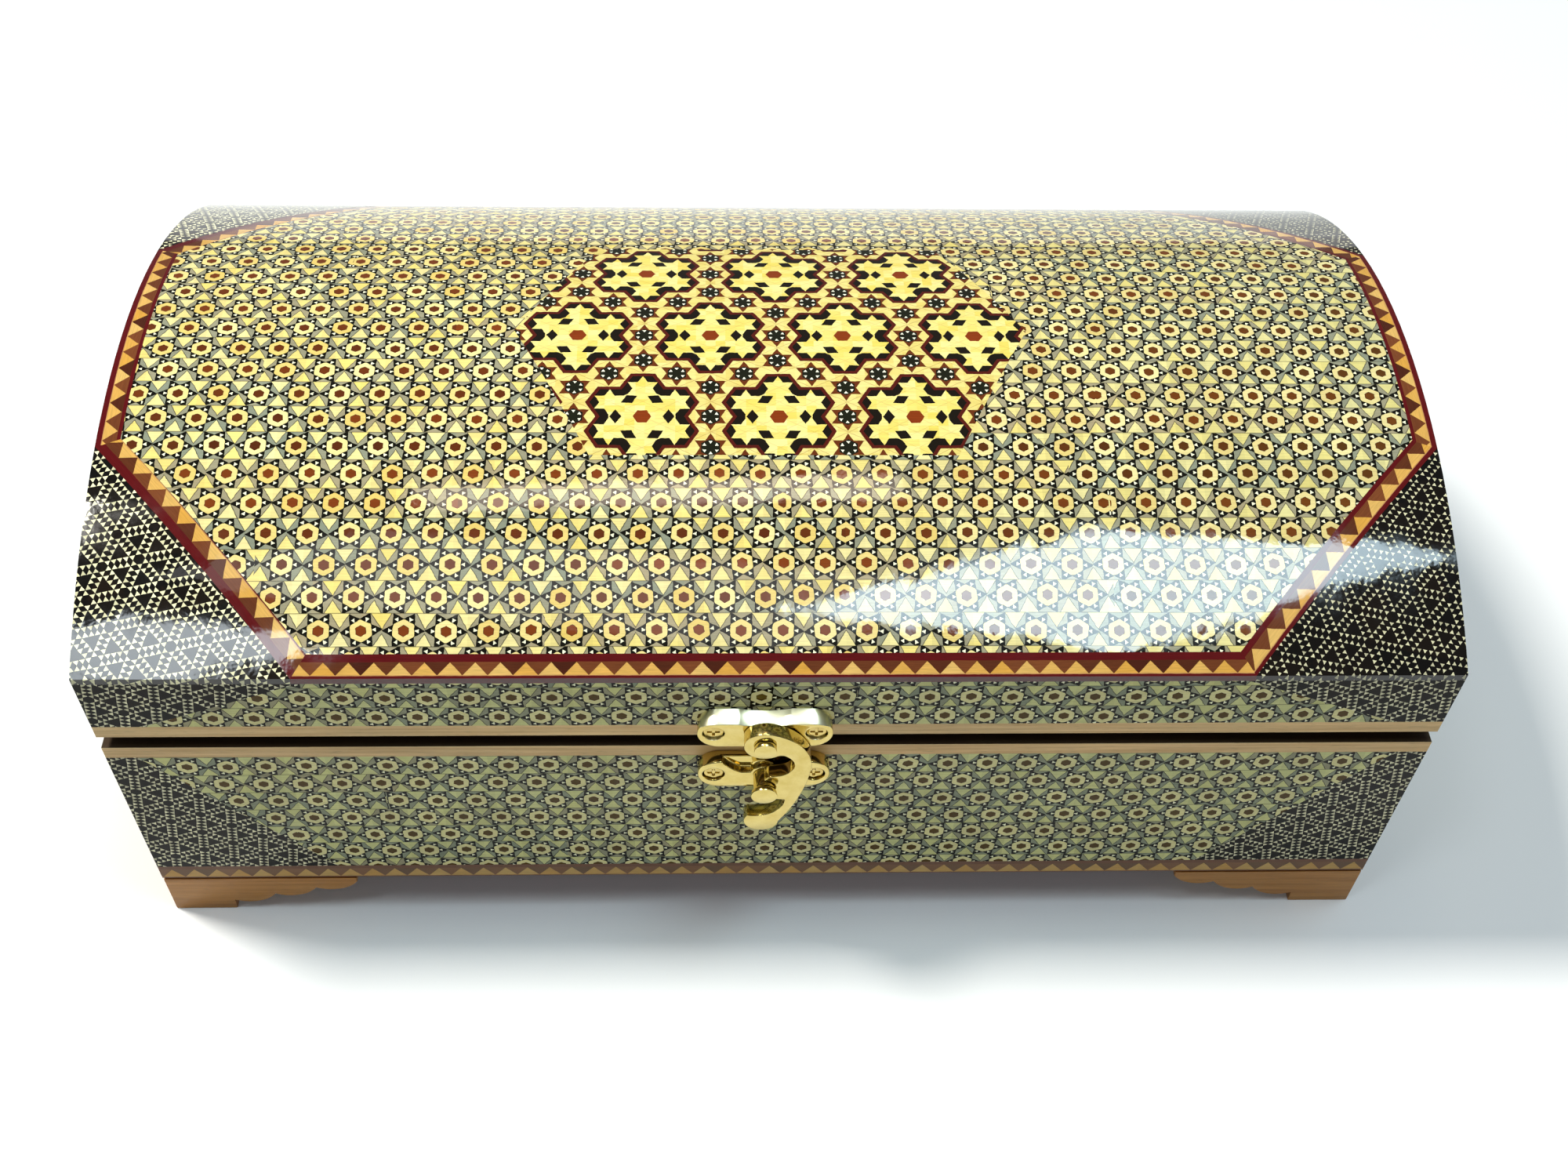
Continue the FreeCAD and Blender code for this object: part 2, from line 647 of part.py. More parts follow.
def make_hinges():
    levels = {
        "base": (rim_top, f"({rim_top} + box.leaf_thickness)"),
        "lid": (f"({lid_low} - box.leaf_thickness)", lid_low),
    }
    faces = {"base": levels["base"][1], "lid": levels["lid"][0]}
    screws, pilots = {"base": [], "lid": []}, {"base": [], "lid": []}
    place = "(box.lid_length / 2 - box.hinge_inset)"
    for end, centre in (("left", f"(-{place})"), ("right", place)):
        whole = (f"({centre} - box.hinge_length / 2)", f"({centre} + box.hinge_length / 2)")
        pin = rod_along_x(f"pin_{end}", "box.pin_radius", *whole, pin_place, pin_level)
        piece(pin, f"hinge_{end}_pin")
        for part in ("base", "lid"):
            blank = leaf(f"{end}_{part}_leaf", centre, part, levels[part])
            sinks = []
            for number, sign in enumerate(("-", "+")):
                x = f"({centre} {sign} box.hinge_screw_spacing / 2)"
                place = (x, faces[part], part == "lid")
                name = f"{end}_{part}_leaf_screw{number}"
                screws[part].append(hinge_screw(name, *place))
                pilots[part].append(hinge_pilot(f"{name}_pilot", *place))
                sinks.append(hinge_sink(f"{name}_sink", *place))
            drilled = cut(f"{end}_{part}_leaf_drilled", blank, group(f"{end}_{part}_leaf_sinks", sinks))
            piece(drilled, f"hinge_{end}_{part}_leaf")
    for part in ("base", "lid"):
        piece(group(f"hinge_{part}_screw_set", screws[part]), f"hinge_{part}_screws")
    return {part: group(f"hinge_{part}_pilots", pilots[part]) for part in pilots}


# The chest: four boards round a bottom board, veneered outside, lined inside, lipped along the top.
def make_chest(clasp_pilots, hinge_pilots):
    boards = ring("base_board", border_low, rim_low, "box.veneer_thickness", "box.wall_thickness")
    veneers = ring("base_khatam", panel_low, rim_low, "0", "box.veneer_thickness")
    rims = ring("base_rim", rim_low, rim_top, "0", shell_thickness)
    borders = ring("base_border", border_low, panel_low, "0", "box.veneer_thickness")
    lining_top = f"({rim_top} + {lining_stand})"
    linings = ring("base_lining", floor_level, lining_top, shell_thickness, "box.lining_thickness")
    boards["front"] = cut("base_board_front_drilled", boards["front"], clasp_pilots["keeper"])
    veneers["front"] = cut("base_khatam_front_drilled", veneers["front"], clasp_pilots["keeper"])
    boards["back"] = cut("base_board_back_drilled", boards["back"], hinge_pilots["base"])
    rims["back"] = cut("base_rim_back_drilled", rims["back"], hinge_pilots["base"])
    for side in sides:
        piece(boards[side], f"base_board_{side}")
        piece(veneers[side], f"base_khatam_{side}")
        piece(linings[side], f"base_lining_{side}")
    piece(group("base_rims", list(rims.values())), "base_rim")
    piece(group("base_borders", list(borders.values())), "base_border")
    bottom = block("base_bottom", border_low, floor_level, shell_thickness)
    piece(bottom, "base_bottom_board")
    piece(block("base_felt_sheet", felt_low, border_low, "box.felt_margin"), "base_felt")
    cushion_top = f"({floor_level} + box.cushion_height)"
    margin = f"({shell_thickness} + box.lining_thickness + box.cushion_margin)"
    piece(block("cushion", floor_level, cushion_top, margin), "floor_cushion")


def make_lid(clasp_pilots, hinge_pilots):
    boards = ring("lid_board", skirt_low, above_dome, "box.veneer_thickness", "box.wall_thickness")
    veneers = ring("lid_khatam", skirt_low, above_dome, "0", "box.veneer_thickness")
    rims = ring("lid_rim", lid_low, skirt_low, "0", shell_thickness)
    lining_low = f"({lid_low} - {lining_stand})"
    linings = ring("lid_lining", lining_low, above_dome, shell_thickness, "box.lining_thickness")
    dome_depth = "(box.veneer_thickness + box.dome_thickness)"
    under_veneer = dome_rod("under_veneer", "box.veneer_thickness")
    under_board = dome_rod("under_board", dome_depth)
    for side in sides:
        boards[side] = common(f"lid_board_{side}_domed", boards[side], under_board)
        veneers[side] = common(f"lid_khatam_{side}_domed", veneers[side], under_veneer)
        linings[side] = common(f"lid_lining_{side}_domed", linings[side], under_board)
    boards["front"] = cut("lid_board_front_drilled", boards["front"], clasp_pilots["lid"])
    veneers["front"] = cut("lid_khatam_front_drilled", veneers["front"], clasp_pilots["lid"])
    boards["back"] = cut("lid_board_back_drilled", boards["back"], hinge_pilots["lid"])
    rims["back"] = cut("lid_rim_back_drilled", rims["back"], hinge_pilots["lid"])
    for side in sides:
        piece(boards[side], f"lid_board_{side}")
        piece(veneers[side], f"lid_khatam_{side}")
        piece(linings[side], f"lid_lining_{side}")
    piece(group("lid_rims", list(rims.values())), "lid_rim")
    shell = dome_shell("dome_board_shell", "box.veneer_thickness", "box.dome_thickness")
    inside = block("dome_board_block", skirt_low, above_dome, "box.veneer_thickness")
    piece(common("dome_board", shell, inside), "lid_dome_board")
    lining_shell = dome_shell("dome_lining_shell", dome_depth, "box.lining_thickness")
    margin = f"({shell_thickness} + box.lining_thickness)"
    lining_block = block("dome_lining_block", skirt_low, above_dome, margin)
    piece(common("dome_lining", lining_shell, lining_block), "lid_lining_dome")


# The dome's veneer, cut along straight lines in plan: an octagon of border strips between a field
# with a medallion in it and four corner panels.
def make_dome_veneer():
    shell = dome_shell("dome_veneer_shell", "0", "box.veneer_thickness")
    skin = common("dome_veneer", shell, block("dome_veneer_block", skirt_low, above_dome, "0"))
    front_x, front_y = "(box.lid_length / 2 - box.corner_length)", "(box.lid_depth / 2)"
    end_y = f"({front_y} - box.corner_depth)"
    end_x = half_length(f"({dome_axis} + sqrt({dome_radius}^2 - {end_y}^2))")
    run_x, run_y = f"({end_x} - {front_x})", f"({front_y} - {end_y})"
    slant = f"sqrt({run_x}^2 + {run_y}^2)"
    width, front_width = "box.strip_width", "box.strip_front"
    inner_front_x = f"({front_x} - ({width} * {slant} - {run_x} * {front_width}) / {run_y})"
    inner_end_y = f"({end_y} - ({width} * {slant} - {run_y} * {width}) / {run_x})"
    inner_front_y = f"({front_y} - {front_width})"
    inner_end_x = f"({end_x} - {width})"
    far_x = f"({end_x} + box.plan_allowance)"
    far_y = f"({front_y} + box.plan_allowance)"

    def prism(name, loops):
        body = new_body(name)
        sketch = sketch_on(body, "XY_Plane", f"{name}_outline")
        for loop in loops:
            draw(sketch, loop)
        pad(body, sketch, f"{name}_pad", above_dome)
        return common(f"{name}_cut", skin, body)

    def at(sign_x, sign_y, *corners):
        return [(f"{sign_x} * {x}", f"{sign_y} * {y}") for x, y in corners]

    octagon = at(-1, -1, (inner_front_x, inner_front_y)) + at(1, -1, (inner_front_x, inner_front_y))
    octagon += at(1, -1, (inner_end_x, inner_end_y)) + at(1, 1, (inner_end_x, inner_end_y))
    octagon += at(1, 1, (inner_front_x, inner_front_y)) + at(-1, 1, (inner_front_x, inner_front_y))
    octagon += at(-1, 1, (inner_end_x, inner_end_y)) + at(-1, -1, (inner_end_x, inner_end_y))
    tip, flat, deep = "(box.medallion_length / 2)", "(box.medallion_flat / 2)", "(box.medallion_depth / 2)"
    hexagon = at(1, 1, (tip, "0"), (flat, deep)) + at(-1, 1, (flat, deep), (tip, "0"))
    hexagon += at(-1, -1, (flat, deep)) + at(1, -1, (flat, deep))
    piece(prism("field", [octagon, hexagon]), "lid_field")
    piece(prism("medallion", [hexagon]), "lid_medallion")
    strips, corners = [], []
    for word, sign in (("front", -1), ("back", 1)):
        near = at(-1, sign, (inner_front_x, inner_front_y)) + at(1, sign, (inner_front_x, inner_front_y))
        far = at(1, sign, (front_x, front_y), (front_x, far_y)) + at(-1, sign, (front_x, far_y), (front_x, front_y))
        strips.append(prism(f"strip_{word}", [near + far]))
    for word, sign in (("left", -1), ("right", 1)):
        near = at(sign, -1, (inner_end_x, inner_end_y)) + at(sign, 1, (inner_end_x, inner_end_y))
        far = at(sign, 1, (end_x, end_y), (far_x, end_y)) + at(sign, -1, (far_x, end_y), (end_x, end_y))
        strips.append(prism(f"strip_{word}", [near + far]))
    for sign_x, sign_y in ((-1, -1), (1, -1), (1, 1), (-1, 1)):
        word = f"{'left' if sign_x < 0 else 'right'}_{'front' if sign_y < 0 else 'back'}"
        slanted = ((front_x, front_y), (end_x, end_y), (inner_end_x, inner_end_y), (inner_front_x, inner_front_y))
        strips.append(prism(f"strip_{word}", [at(sign_x, sign_y, *slanted)]))
        outside = ((front_x, front_y), (front_x, far_y), (far_x, far_y), (far_x, end_y), (end_x, end_y))
        corners.append(prism(f"corner_{word}", [at(sign_x, sign_y, *outside)]))
    piece(group("lid_strips", strips), "lid_border")
    piece(group("lid_corner_panels", corners), "lid_corners")


clasp_pilots = make_clasp()
hinge_pilots = make_hinges()
make_feet()
make_chest(clasp_pilots, hinge_pilots)
make_lid(clasp_pilots, hinge_pilots)
make_dome_veneer()
doc.recompute()

faulty = [thing.Name for thing in doc.Objects if "Invalid" in thing.State or "Error" in thing.State]
faulty += [thing.Label for thing in pieces if thing.Shape.isNull() or not thing.Shape.isValid()]
if faulty:
    raise RuntimeError(f"these objects failed: {faulty}")
for thing in pieces:
    thing.Shape.exportStep(f"parts/{thing.Label}.step")
print(len(pieces), "pieces written")
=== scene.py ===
import bpy
import json
import math
from mathutils import Matrix, Vector


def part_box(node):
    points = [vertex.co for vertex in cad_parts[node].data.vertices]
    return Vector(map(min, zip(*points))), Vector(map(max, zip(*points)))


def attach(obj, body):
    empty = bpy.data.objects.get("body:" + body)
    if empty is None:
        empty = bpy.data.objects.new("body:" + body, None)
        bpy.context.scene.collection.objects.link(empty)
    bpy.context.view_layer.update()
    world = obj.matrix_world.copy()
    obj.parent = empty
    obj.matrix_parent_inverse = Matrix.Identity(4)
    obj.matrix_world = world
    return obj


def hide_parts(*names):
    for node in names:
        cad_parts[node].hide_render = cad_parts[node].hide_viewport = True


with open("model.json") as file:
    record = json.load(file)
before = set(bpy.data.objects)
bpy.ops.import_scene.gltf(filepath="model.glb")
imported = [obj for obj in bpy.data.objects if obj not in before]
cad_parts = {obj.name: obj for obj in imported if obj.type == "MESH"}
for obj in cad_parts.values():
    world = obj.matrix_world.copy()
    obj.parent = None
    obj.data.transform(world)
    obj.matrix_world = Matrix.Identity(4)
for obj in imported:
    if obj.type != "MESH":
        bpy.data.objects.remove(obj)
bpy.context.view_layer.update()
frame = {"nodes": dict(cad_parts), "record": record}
scene = bpy.context.scene
scene.view_settings.view_transform = "Standard"
nodes = frame["nodes"]
bodies = frame["record"]["behaviour"]["bodies"]
bodyOf = {node: body for body, members in bodies.items() for node in members}
slotOf = {part["node"]: part["material_slot"] for part in frame["record"]["subparts"]}
print("frame loaded:", len(nodes), "nodes")

# Patterns are worked out in millimetres, pieces and lamps in metres.
toMillimetres = 1000.0
sin60 = 0.866
root3 = 1.732
halfTan30 = 0.2887


# A node socket that takes part in sums like a number.
class Wire:
    def __init__(self, socket):
        self.socket = socket
        self.tree = socket.id_data

    def math(self, operation, *others):
        node = self.tree.nodes.new("ShaderNodeMath")
        node.operation = operation
        for place, value in enumerate((self, *others)):
            plug(value, node.inputs[place])
        return Wire(node.outputs[0])

    def __add__(self, other):
        return self.math("ADD", other)

    def __sub__(self, other):
        return self.math("SUBTRACT", other)

    def __mul__(self, other):
        return self.math("MULTIPLY", other)

    def __truediv__(self, other):
        return self.math("DIVIDE", other)

    def __abs__(self):
        return self.math("ABSOLUTE")

    def __neg__(self):
        return self.math("MULTIPLY", -1.0)

    def floor(self):
        return self.math("FLOOR")

    def nearest(self):
        return self.math("ROUND")

    def fract(self):
        return self.math("FRACT")

    def least(self, other):
        return self.math("MINIMUM", other)

    def most(self, other):
        return self.math("MAXIMUM", other)

    def below(self, limit):
        return self.math("LESS_THAN", limit)

    def above(self, limit):
        return self.math("GREATER_THAN", limit)

    def square(self):
        return self.math("MULTIPLY", self)

    def flip(self):  # one minus a mask
        return self.math("MULTIPLY_ADD", -1.0, 1.0)


def plug(value, socket):
    if isinstance(value, Wire):
        socket.id_data.links.new(value.socket, socket)
    elif isinstance(value, tuple) and len(value) == 3 and socket.type == "RGBA":
        socket.default_value = (*value, 1.0)
    else:
        socket.default_value = value


def addNode(tree, kind, settings=None, **sockets):
    node = tree.nodes.new(kind)
    for name, value in (settings or {}).items():
        setattr(node, name, value)
    for name, value in sockets.items():
        plug(value, node.inputs[name])
    return node


def blendColor(tree, mask, under, over, mode="MIX"):
    node = addNode(tree, "ShaderNodeMix", {"data_type": "RGBA", "blend_type": mode})
    plug(mask, node.inputs[0])
    plug(under, node.inputs[6])
    plug(over, node.inputs[7])
    return Wire(node.outputs[2])


def pick(mask, yes, no):  # a number chosen by a mask
    return (yes - no) * mask + no


def between(mask, low, high):  # a number that runs from low to high with a mask
    return mask * (high - low) + low


def joinXyz(tree, x, y, z=0.0):
    node = tree.nodes.new("ShaderNodeCombineXYZ")
    for place, value in enumerate((x, y, z)):
        plug(value, node.inputs[place])
    return Wire(node.outputs[0])


def splitXyz(tree, vector):
    node = addNode(tree, "ShaderNodeSeparateXYZ", None, Vector=vector)
    return [Wire(socket) for socket in node.outputs]


def shaded(tree, color, light):  # a colour made lighter or darker
    return blendColor(tree, 1.0, color, joinXyz(tree, light, light, light), "MULTIPLY")


# A steady random number for each cell. A plain number among the three sets one draw apart from another.
def chance(tree, x, y=0.0, z=0.0):
    spot = joinXyz(tree, x, y, z)
    node = addNode(tree, "ShaderNodeTexWhiteNoise", {"noise_dimensions": "3D"}, Vector=spot)
    return Wire(node.outputs["Value"])


def jitter(tree, amount, x, y=0.0, z=0.0):  # a steady random offset round zero for each cell
    return (chance(tree, x, y, z) - 0.5) * amount


def cloud(tree, vector, scale, detail=2.0, roughness=0.5):
    sockets = dict(Vector=vector, Scale=scale, Detail=detail, Roughness=roughness)
    return Wire(addNode(tree, "ShaderNodeTexNoise", None, **sockets).outputs["Fac"])


def drift(tree, along, up, scale, detail):  # two smooth random offsets round zero
    spot = joinXyz(tree, along, up)
    noise = addNode(tree, "ShaderNodeTexNoise", None, Vector=spot, Scale=scale, Detail=detail)
    sideways, upwards, _ = splitXyz(tree, Wire(noise.outputs["Color"]))
    return sideways - 0.5, upwards - 0.5


def ramp(value, low, high, start=0.0, end=1.0):
    node = value.tree.nodes.new("ShaderNodeMapRange")
    limits = {"Value": value, "From Min": low, "From Max": high, "To Min": start, "To Max": end}
    for name, number in limits.items():
        plug(number, node.inputs[name])
    return Wire(node.outputs[0])


def newGroup(name, inputs, outputs):
    tree = bpy.data.node_groups.new(name, "ShaderNodeTree")
    for label, value in inputs.items():
        if isinstance(value, tuple):
            socket = tree.interface.new_socket(label, in_out="INPUT", socket_type="NodeSocketColor")
            socket.default_value = (*value, 1.0)
        else:
            socket = tree.interface.new_socket(label, in_out="INPUT", socket_type="NodeSocketFloat")
            socket.default_value = value
    for label, kind in outputs.items():
        tree.interface.new_socket(label, in_out="OUTPUT", socket_type=f"NodeSocket{kind}")
    start = tree.nodes.new("NodeGroupInput")
    end = tree.nodes.new("NodeGroupOutput")
    return tree, {label: Wire(start.outputs[label]) for label in inputs}, end


def useGroup(tree, group, **sockets):
    node = tree.nodes.new("ShaderNodeGroup")
    node.node_tree = group
    for name, value in sockets.items():
        plug(value, node.inputs[name])
    return {socket.name: Wire(socket) for socket in node.outputs}


def newMaterial(name):
    material = bpy.data.materials.new(name)
    material.use_nodes = True
    tree = material.node_tree
    shader = tree.nodes["Principled BSDF"]
    place = tree.nodes.new("ShaderNodeTexCoord")
    return material, tree, shader, place


def millimetres(tree, place):
    return [part * toMillimetres for part in splitXyz(tree, Wire(place.outputs["Object"]))]


def levels(node):  # the lowest and highest level of a CAD node, in millimetres
    return [corner[2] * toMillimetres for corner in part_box(node)]


def hexFold(px, py):  # folds a six-armed figure into a twelfth
    ax, ay = abs(px), abs(py)
    turn = (ax * -0.5 + ay * sin60).most(0.0)
    return ax + turn, abs(ay - turn * root3)


def hexagram(x, y):  # the radius of the six-pointed star that passes through a point, tips at 30 degrees
    e1 = x * sin60 + y * 0.5
    e2 = x * -sin60 + y * 0.5
    e3 = -y
    top = e1.most(e2).most(e3)
    low = -(e1.least(e2).least(e3))
    return top.least(low) * 2.0


# Khatam flowers: each row is a glued strip of hexagon flowers on black stars, with grey between the stars
# and an hourglass of two triangles between neighbours. Values ending in Share are shares of the pitch.
flowerLook = dict(
    columnPitch=8.2, pitchSpread=0.24, rowPitch=6.78, rowSlide=0.5, rowLift=0.35, seam=0.10,
    bendScale=0.02, bendHeight=0.9, spliceLength=66.0, spliceSlip=0.9,
    wobble=0.34, wobbleScale=0.9, flowerTwist=0.24, flowerJump=0.3,
    heartShare=0.116, heartLineShare=0.127, petalFlatShare=0.254, petalTipShare=0.280, starShare=0.260,
    toothFromShare=0.266, toothToShare=0.356, toothTipShare=0.128,
    wedgeSlope=0.605, wedgeTipShare=0.037, wedgeLineShare=0.024, wedgeSkew=0.42, wedgeSize=0.34,
    heart=(0.25, 0.050, 0.006), heartDark=(0.080, 0.017, 0.003), heartCool=(0.080, 0.045, 0.004),
    petal=(0.85, 0.62, 0.16), petalPale=(0.87, 0.745, 0.34), petalCool=(0.73, 0.66, 0.34),
    leaf=(0.85, 0.68, 0.18), leafPale=(0.86, 0.755, 0.35), leafCool=(0.55, 0.57, 0.28),
    tooth=(0.92, 0.90, 0.66), grey=(0.405, 0.335, 0.195), greyCool=(0.260, 0.282, 0.205),
    black=(0.0045, 0.004, 0.001), glue=(0.028, 0.022, 0.008), glassGlue=0.7, seamGlue=0.6,
    leafCooling=0.8, heartCooling=0.92, coolLift=1.20, fibreTone=(0.78, 1.12), tileTone=(0.90, 1.06),
)


def makeFlowerGroup(look):
    tree, given, end = newGroup("khatamFlowers", {"Along": 0.0, "Up": 0.0, "Cool": 0.0}, {"Color": "Color"})
    along, up, cool = given["Along"], given["Up"], given["Cool"]
    a, h = look["columnPitch"], look["rowPitch"]
    bendSpot = joinXyz(tree, along * look["bendScale"], up * look["bendScale"])
    up = up + (cloud(tree, bendSpot, 1.0, 1.0) - 0.5) * look["bendHeight"]
    row = (up / h).nearest()
    odd = (row * 0.5).fract() * 2.0
    pitch = jitter(tree, look["pitchSpread"], row, 11.0) + a
    slide = jitter(tree, look["rowSlide"], row, 3.0)
    strip = ((along + chance(tree, row, 7.0) * look["spliceLength"]) / look["spliceLength"]).floor()
    slip = jitter(tree, look["spliceSlip"], row, strip, 5.0)
    step = (along + slide + slip) / pitch + odd * 0.5
    column = step.nearest()
    shakeX, shakeY = drift(tree, along, up, look["wobbleScale"], 2.0)
    shakeX = shakeX * look["wobble"]
    rise = up - row * h + shakeY * look["wobble"] + jitter(tree, look["rowLift"], row, strip, 6.0)
    twist = jitter(tree, look["flowerTwist"], column, row, 14.0)
    flatX = (step - column) * a + shakeX
    jump = jitter(tree, look["flowerJump"], column, row, 15.0)
    qx, qy = hexFold(flatX + rise * twist, rise - flatX * twist + jump)
    slant = qx * sin60 + qy * 0.5
    heart = qx.below(look["heartShare"] * a)
    heartLine = qx.below(look["heartLineShare"] * a)
    petal = qx.below(look["petalFlatShare"] * a).least(slant.below(look["petalTipShare"] * a))
    toothBand = qx.above(look["toothFromShare"] * a).least(qx.below(look["toothToShare"] * a))
    tooth = toothBand.least((qx * 0.5 - look["toothTipShare"] * a).above(qy))
    star = (qx * 0.5 + qy * sin60).below(look["starShare"] * a)
    gap = step.floor()  # the hourglass stands between two flowers
    side = gap + rise.above(0.0) * 0.37  # its upper and lower triangles differ
    skew = jitter(tree, look["wedgeSkew"], side, row, 21.0)
    grown = jitter(tree, look["wedgeSize"], side, row, 22.0)
    fromSide = abs((step - gap - 0.5) * a + shakeX + skew * abs(rise) * 0.4)
    wedge = (abs(rise) * look["wedgeSlope"] - look["wedgeTipShare"] * a) - fromSide + grown
    glass = wedge.above(0.0)
    glassLine = wedge.above(-look["wedgeLineShare"] * a)
    seam = abs(up - row * h).above(h / 2 - look["seam"])
    tile = chance(tree, column, row, 1.0)
    shard = chance(tree, side, row, 2.0)
    rowTone = chance(tree, row, strip, 12.0)
    fibre = cloud(tree, joinXyz(tree, along * 0.10, up * 5.0, row), 1.0, 3.0, 0.65)
    warm = cloud(tree, joinXyz(tree, along * 0.016, up * 0.03), 1.0, 1.0)
    petalTone = blendColor(tree, tile, look["petal"], look["petalPale"])
    # Cool moves each tone to its cooler, greyer Cool colour: painted shade and painted haze, not the
    # veneer's own colour.
    petalTone = blendColor(tree, cool, petalTone, look["petalCool"])
    leafTone = blendColor(tree, shard, look["leaf"], look["leafPale"])
    leafTone = blendColor(tree, cool * look["leafCooling"], leafTone, look["leafCool"])
    heartTone = blendColor(tree, rowTone * 0.7 + tile * 0.3, look["heart"], look["heartDark"])
    heartTone = blendColor(tree, cool * look["heartCooling"], heartTone, look["heartCool"])
    greyMask = ramp(rowTone * 0.5 + shard * 0.3 + warm * 0.6 + cool * 0.3, 0.45, 1.05)
    greyTone = blendColor(tree, greyMask, look["grey"], look["greyCool"])
    color = blendColor(tree, star, greyTone, look["black"])
    color = blendColor(tree, glassLine * look["glassGlue"], color, look["glue"])
    color = blendColor(tree, glass, color, leafTone)
    color = blendColor(tree, tooth, color, look["tooth"])
    color = blendColor(tree, petal, color, petalTone)
    color = blendColor(tree, heartLine, color, look["heartDark"])
    color = blendColor(tree, heart, color, heartTone)
    color = blendColor(tree, seam * look["seamGlue"], color, look["glue"])
    light = ramp(fibre, 0.25, 0.75, *look["fibreTone"]) * ramp(tile, 0.0, 1.0, *look["tileTone"])
    # Where Cool is full, on the walls, the colour is also lifted: painted haze of reflected light.
    light = light * ramp(cool, 0.7, 1.0, 1.0, look["coolLift"])
    tree.links.new(shaded(tree, color, light).socket, end.inputs["Color"])
    return tree


# Black mosaic for the corners: black triangles, each inside a ring of small cream triangles.
cornerLook = dict(
    unit=1.22, across=6.0, wobble=0.4, wobbleScale=0.35, domeLean=12, wallLean=8,
    margin=0.035, rightMargin=0.100, rightDim=(0.70, 0.70, 0.72), sideBlend=20.0,
    black=(0.0025, 0.002, 0.0012), brown=(0.009, 0.005, 0.002),
    cream=(0.93, 0.88, 0.55), creamCool=(0.90, 0.84, 0.60), dotTone=(0.66, 1.08),
)


def makeCornerGroup(look):
    given = {"Along": 0.0, "Up": 0.0, "Cool": 0.0, "Margin": look["margin"]}
    tree, given, end = newGroup("cornerMosaic", given, {"Color": "Color"})
    along, up = given["Along"], given["Up"]
    shakeX, shakeY = drift(tree, along, up, look["wobbleScale"], 2.0)
    along = along + shakeX * look["wobble"]
    up = up + shakeY * look["wobble"]
    count = look["across"]
    t = up / (look["unit"] * sin60)
    s = along / look["unit"] - t * 0.5
    bigS, bigT = (s / count).floor(), (t / count).floor()
    fS, fT = (s / count).fract(), (t / count).fract()
    over = (fS + fT).above(1.0)
    gS = pick(over, fS.flip(), fS) * count
    gT = pick(over, fT.flip(), fT) * count
    cellA, cellB = gS.floor(), gT.floor()
    cellC = -(cellA + cellB) + (count - 2.0)
    f, g = gS.fract(), gT.fract()
    small = (f + g).above(1.0)
    inner = f.flip().least(g.flip()).least(f + g - 1.0).above(given["Margin"])
    ring = cellA.least(cellB).least(cellC).below(0.5)
    isDot = small.least(inner).least(ring)
    tone = chance(tree, s.floor(), t.floor(), over)
    ground = blendColor(tree, chance(tree, bigS, bigT, over), look["black"], look["brown"])
    # On the walls Cool gives the cream its cooler tone, as painted shade.
    cream = blendColor(tree, given["Cool"], look["cream"], look["creamCool"])
    dot = shaded(tree, cream, ramp(tone, 0.0, 1.0, *look["dotTone"]))
    tree.links.new(blendColor(tree, isDot, ground, dot).socket, end.inputs["Color"])
    return tree


# Ten rosettes: a red heart in a golden six-armed star, on black inside a maroon outline.
rosetteLook = dict(
    pitch=28.4, rowPitch=24.0, wobble=0.22, wobbleScale=0.9, tileWide=2.1, tileTall=1.8,
    heartReach=1.67, armReach=7.85, armRadius=3.62, middleFlat=6.95, coreReach=6.4,
    notchAt=5.5, notchWide=1.25, notchTall=1.95, blackReach=3.62, outlineReach=4.42,
    smallStar=3.75, hubReach=1.92, dotTip=1.0, dotFrom=1.06, dotTo=1.70, dotSlope=0.60,
    lineGap=3.55, lineShare=0.045, groundLines=0.45, goldLines=0.22, fibreTone=(0.82, 1.1),
    gold=(0.82, 0.65, 0.12), goldPale=(0.89, 0.79, 0.31), heart=(0.23, 0.036, 0.004),
    black=(0.008, 0.005, 0.002), outline=(0.088, 0.008, 0.004), line=(0.36, 0.14, 0.03),
    ground=(0.84, 0.73, 0.27), groundWarm=(0.75, 0.60, 0.16), star=(0.135, 0.028, 0.005),
    dark=(0.010, 0.011, 0.004), white=(0.92, 0.90, 0.72),
)


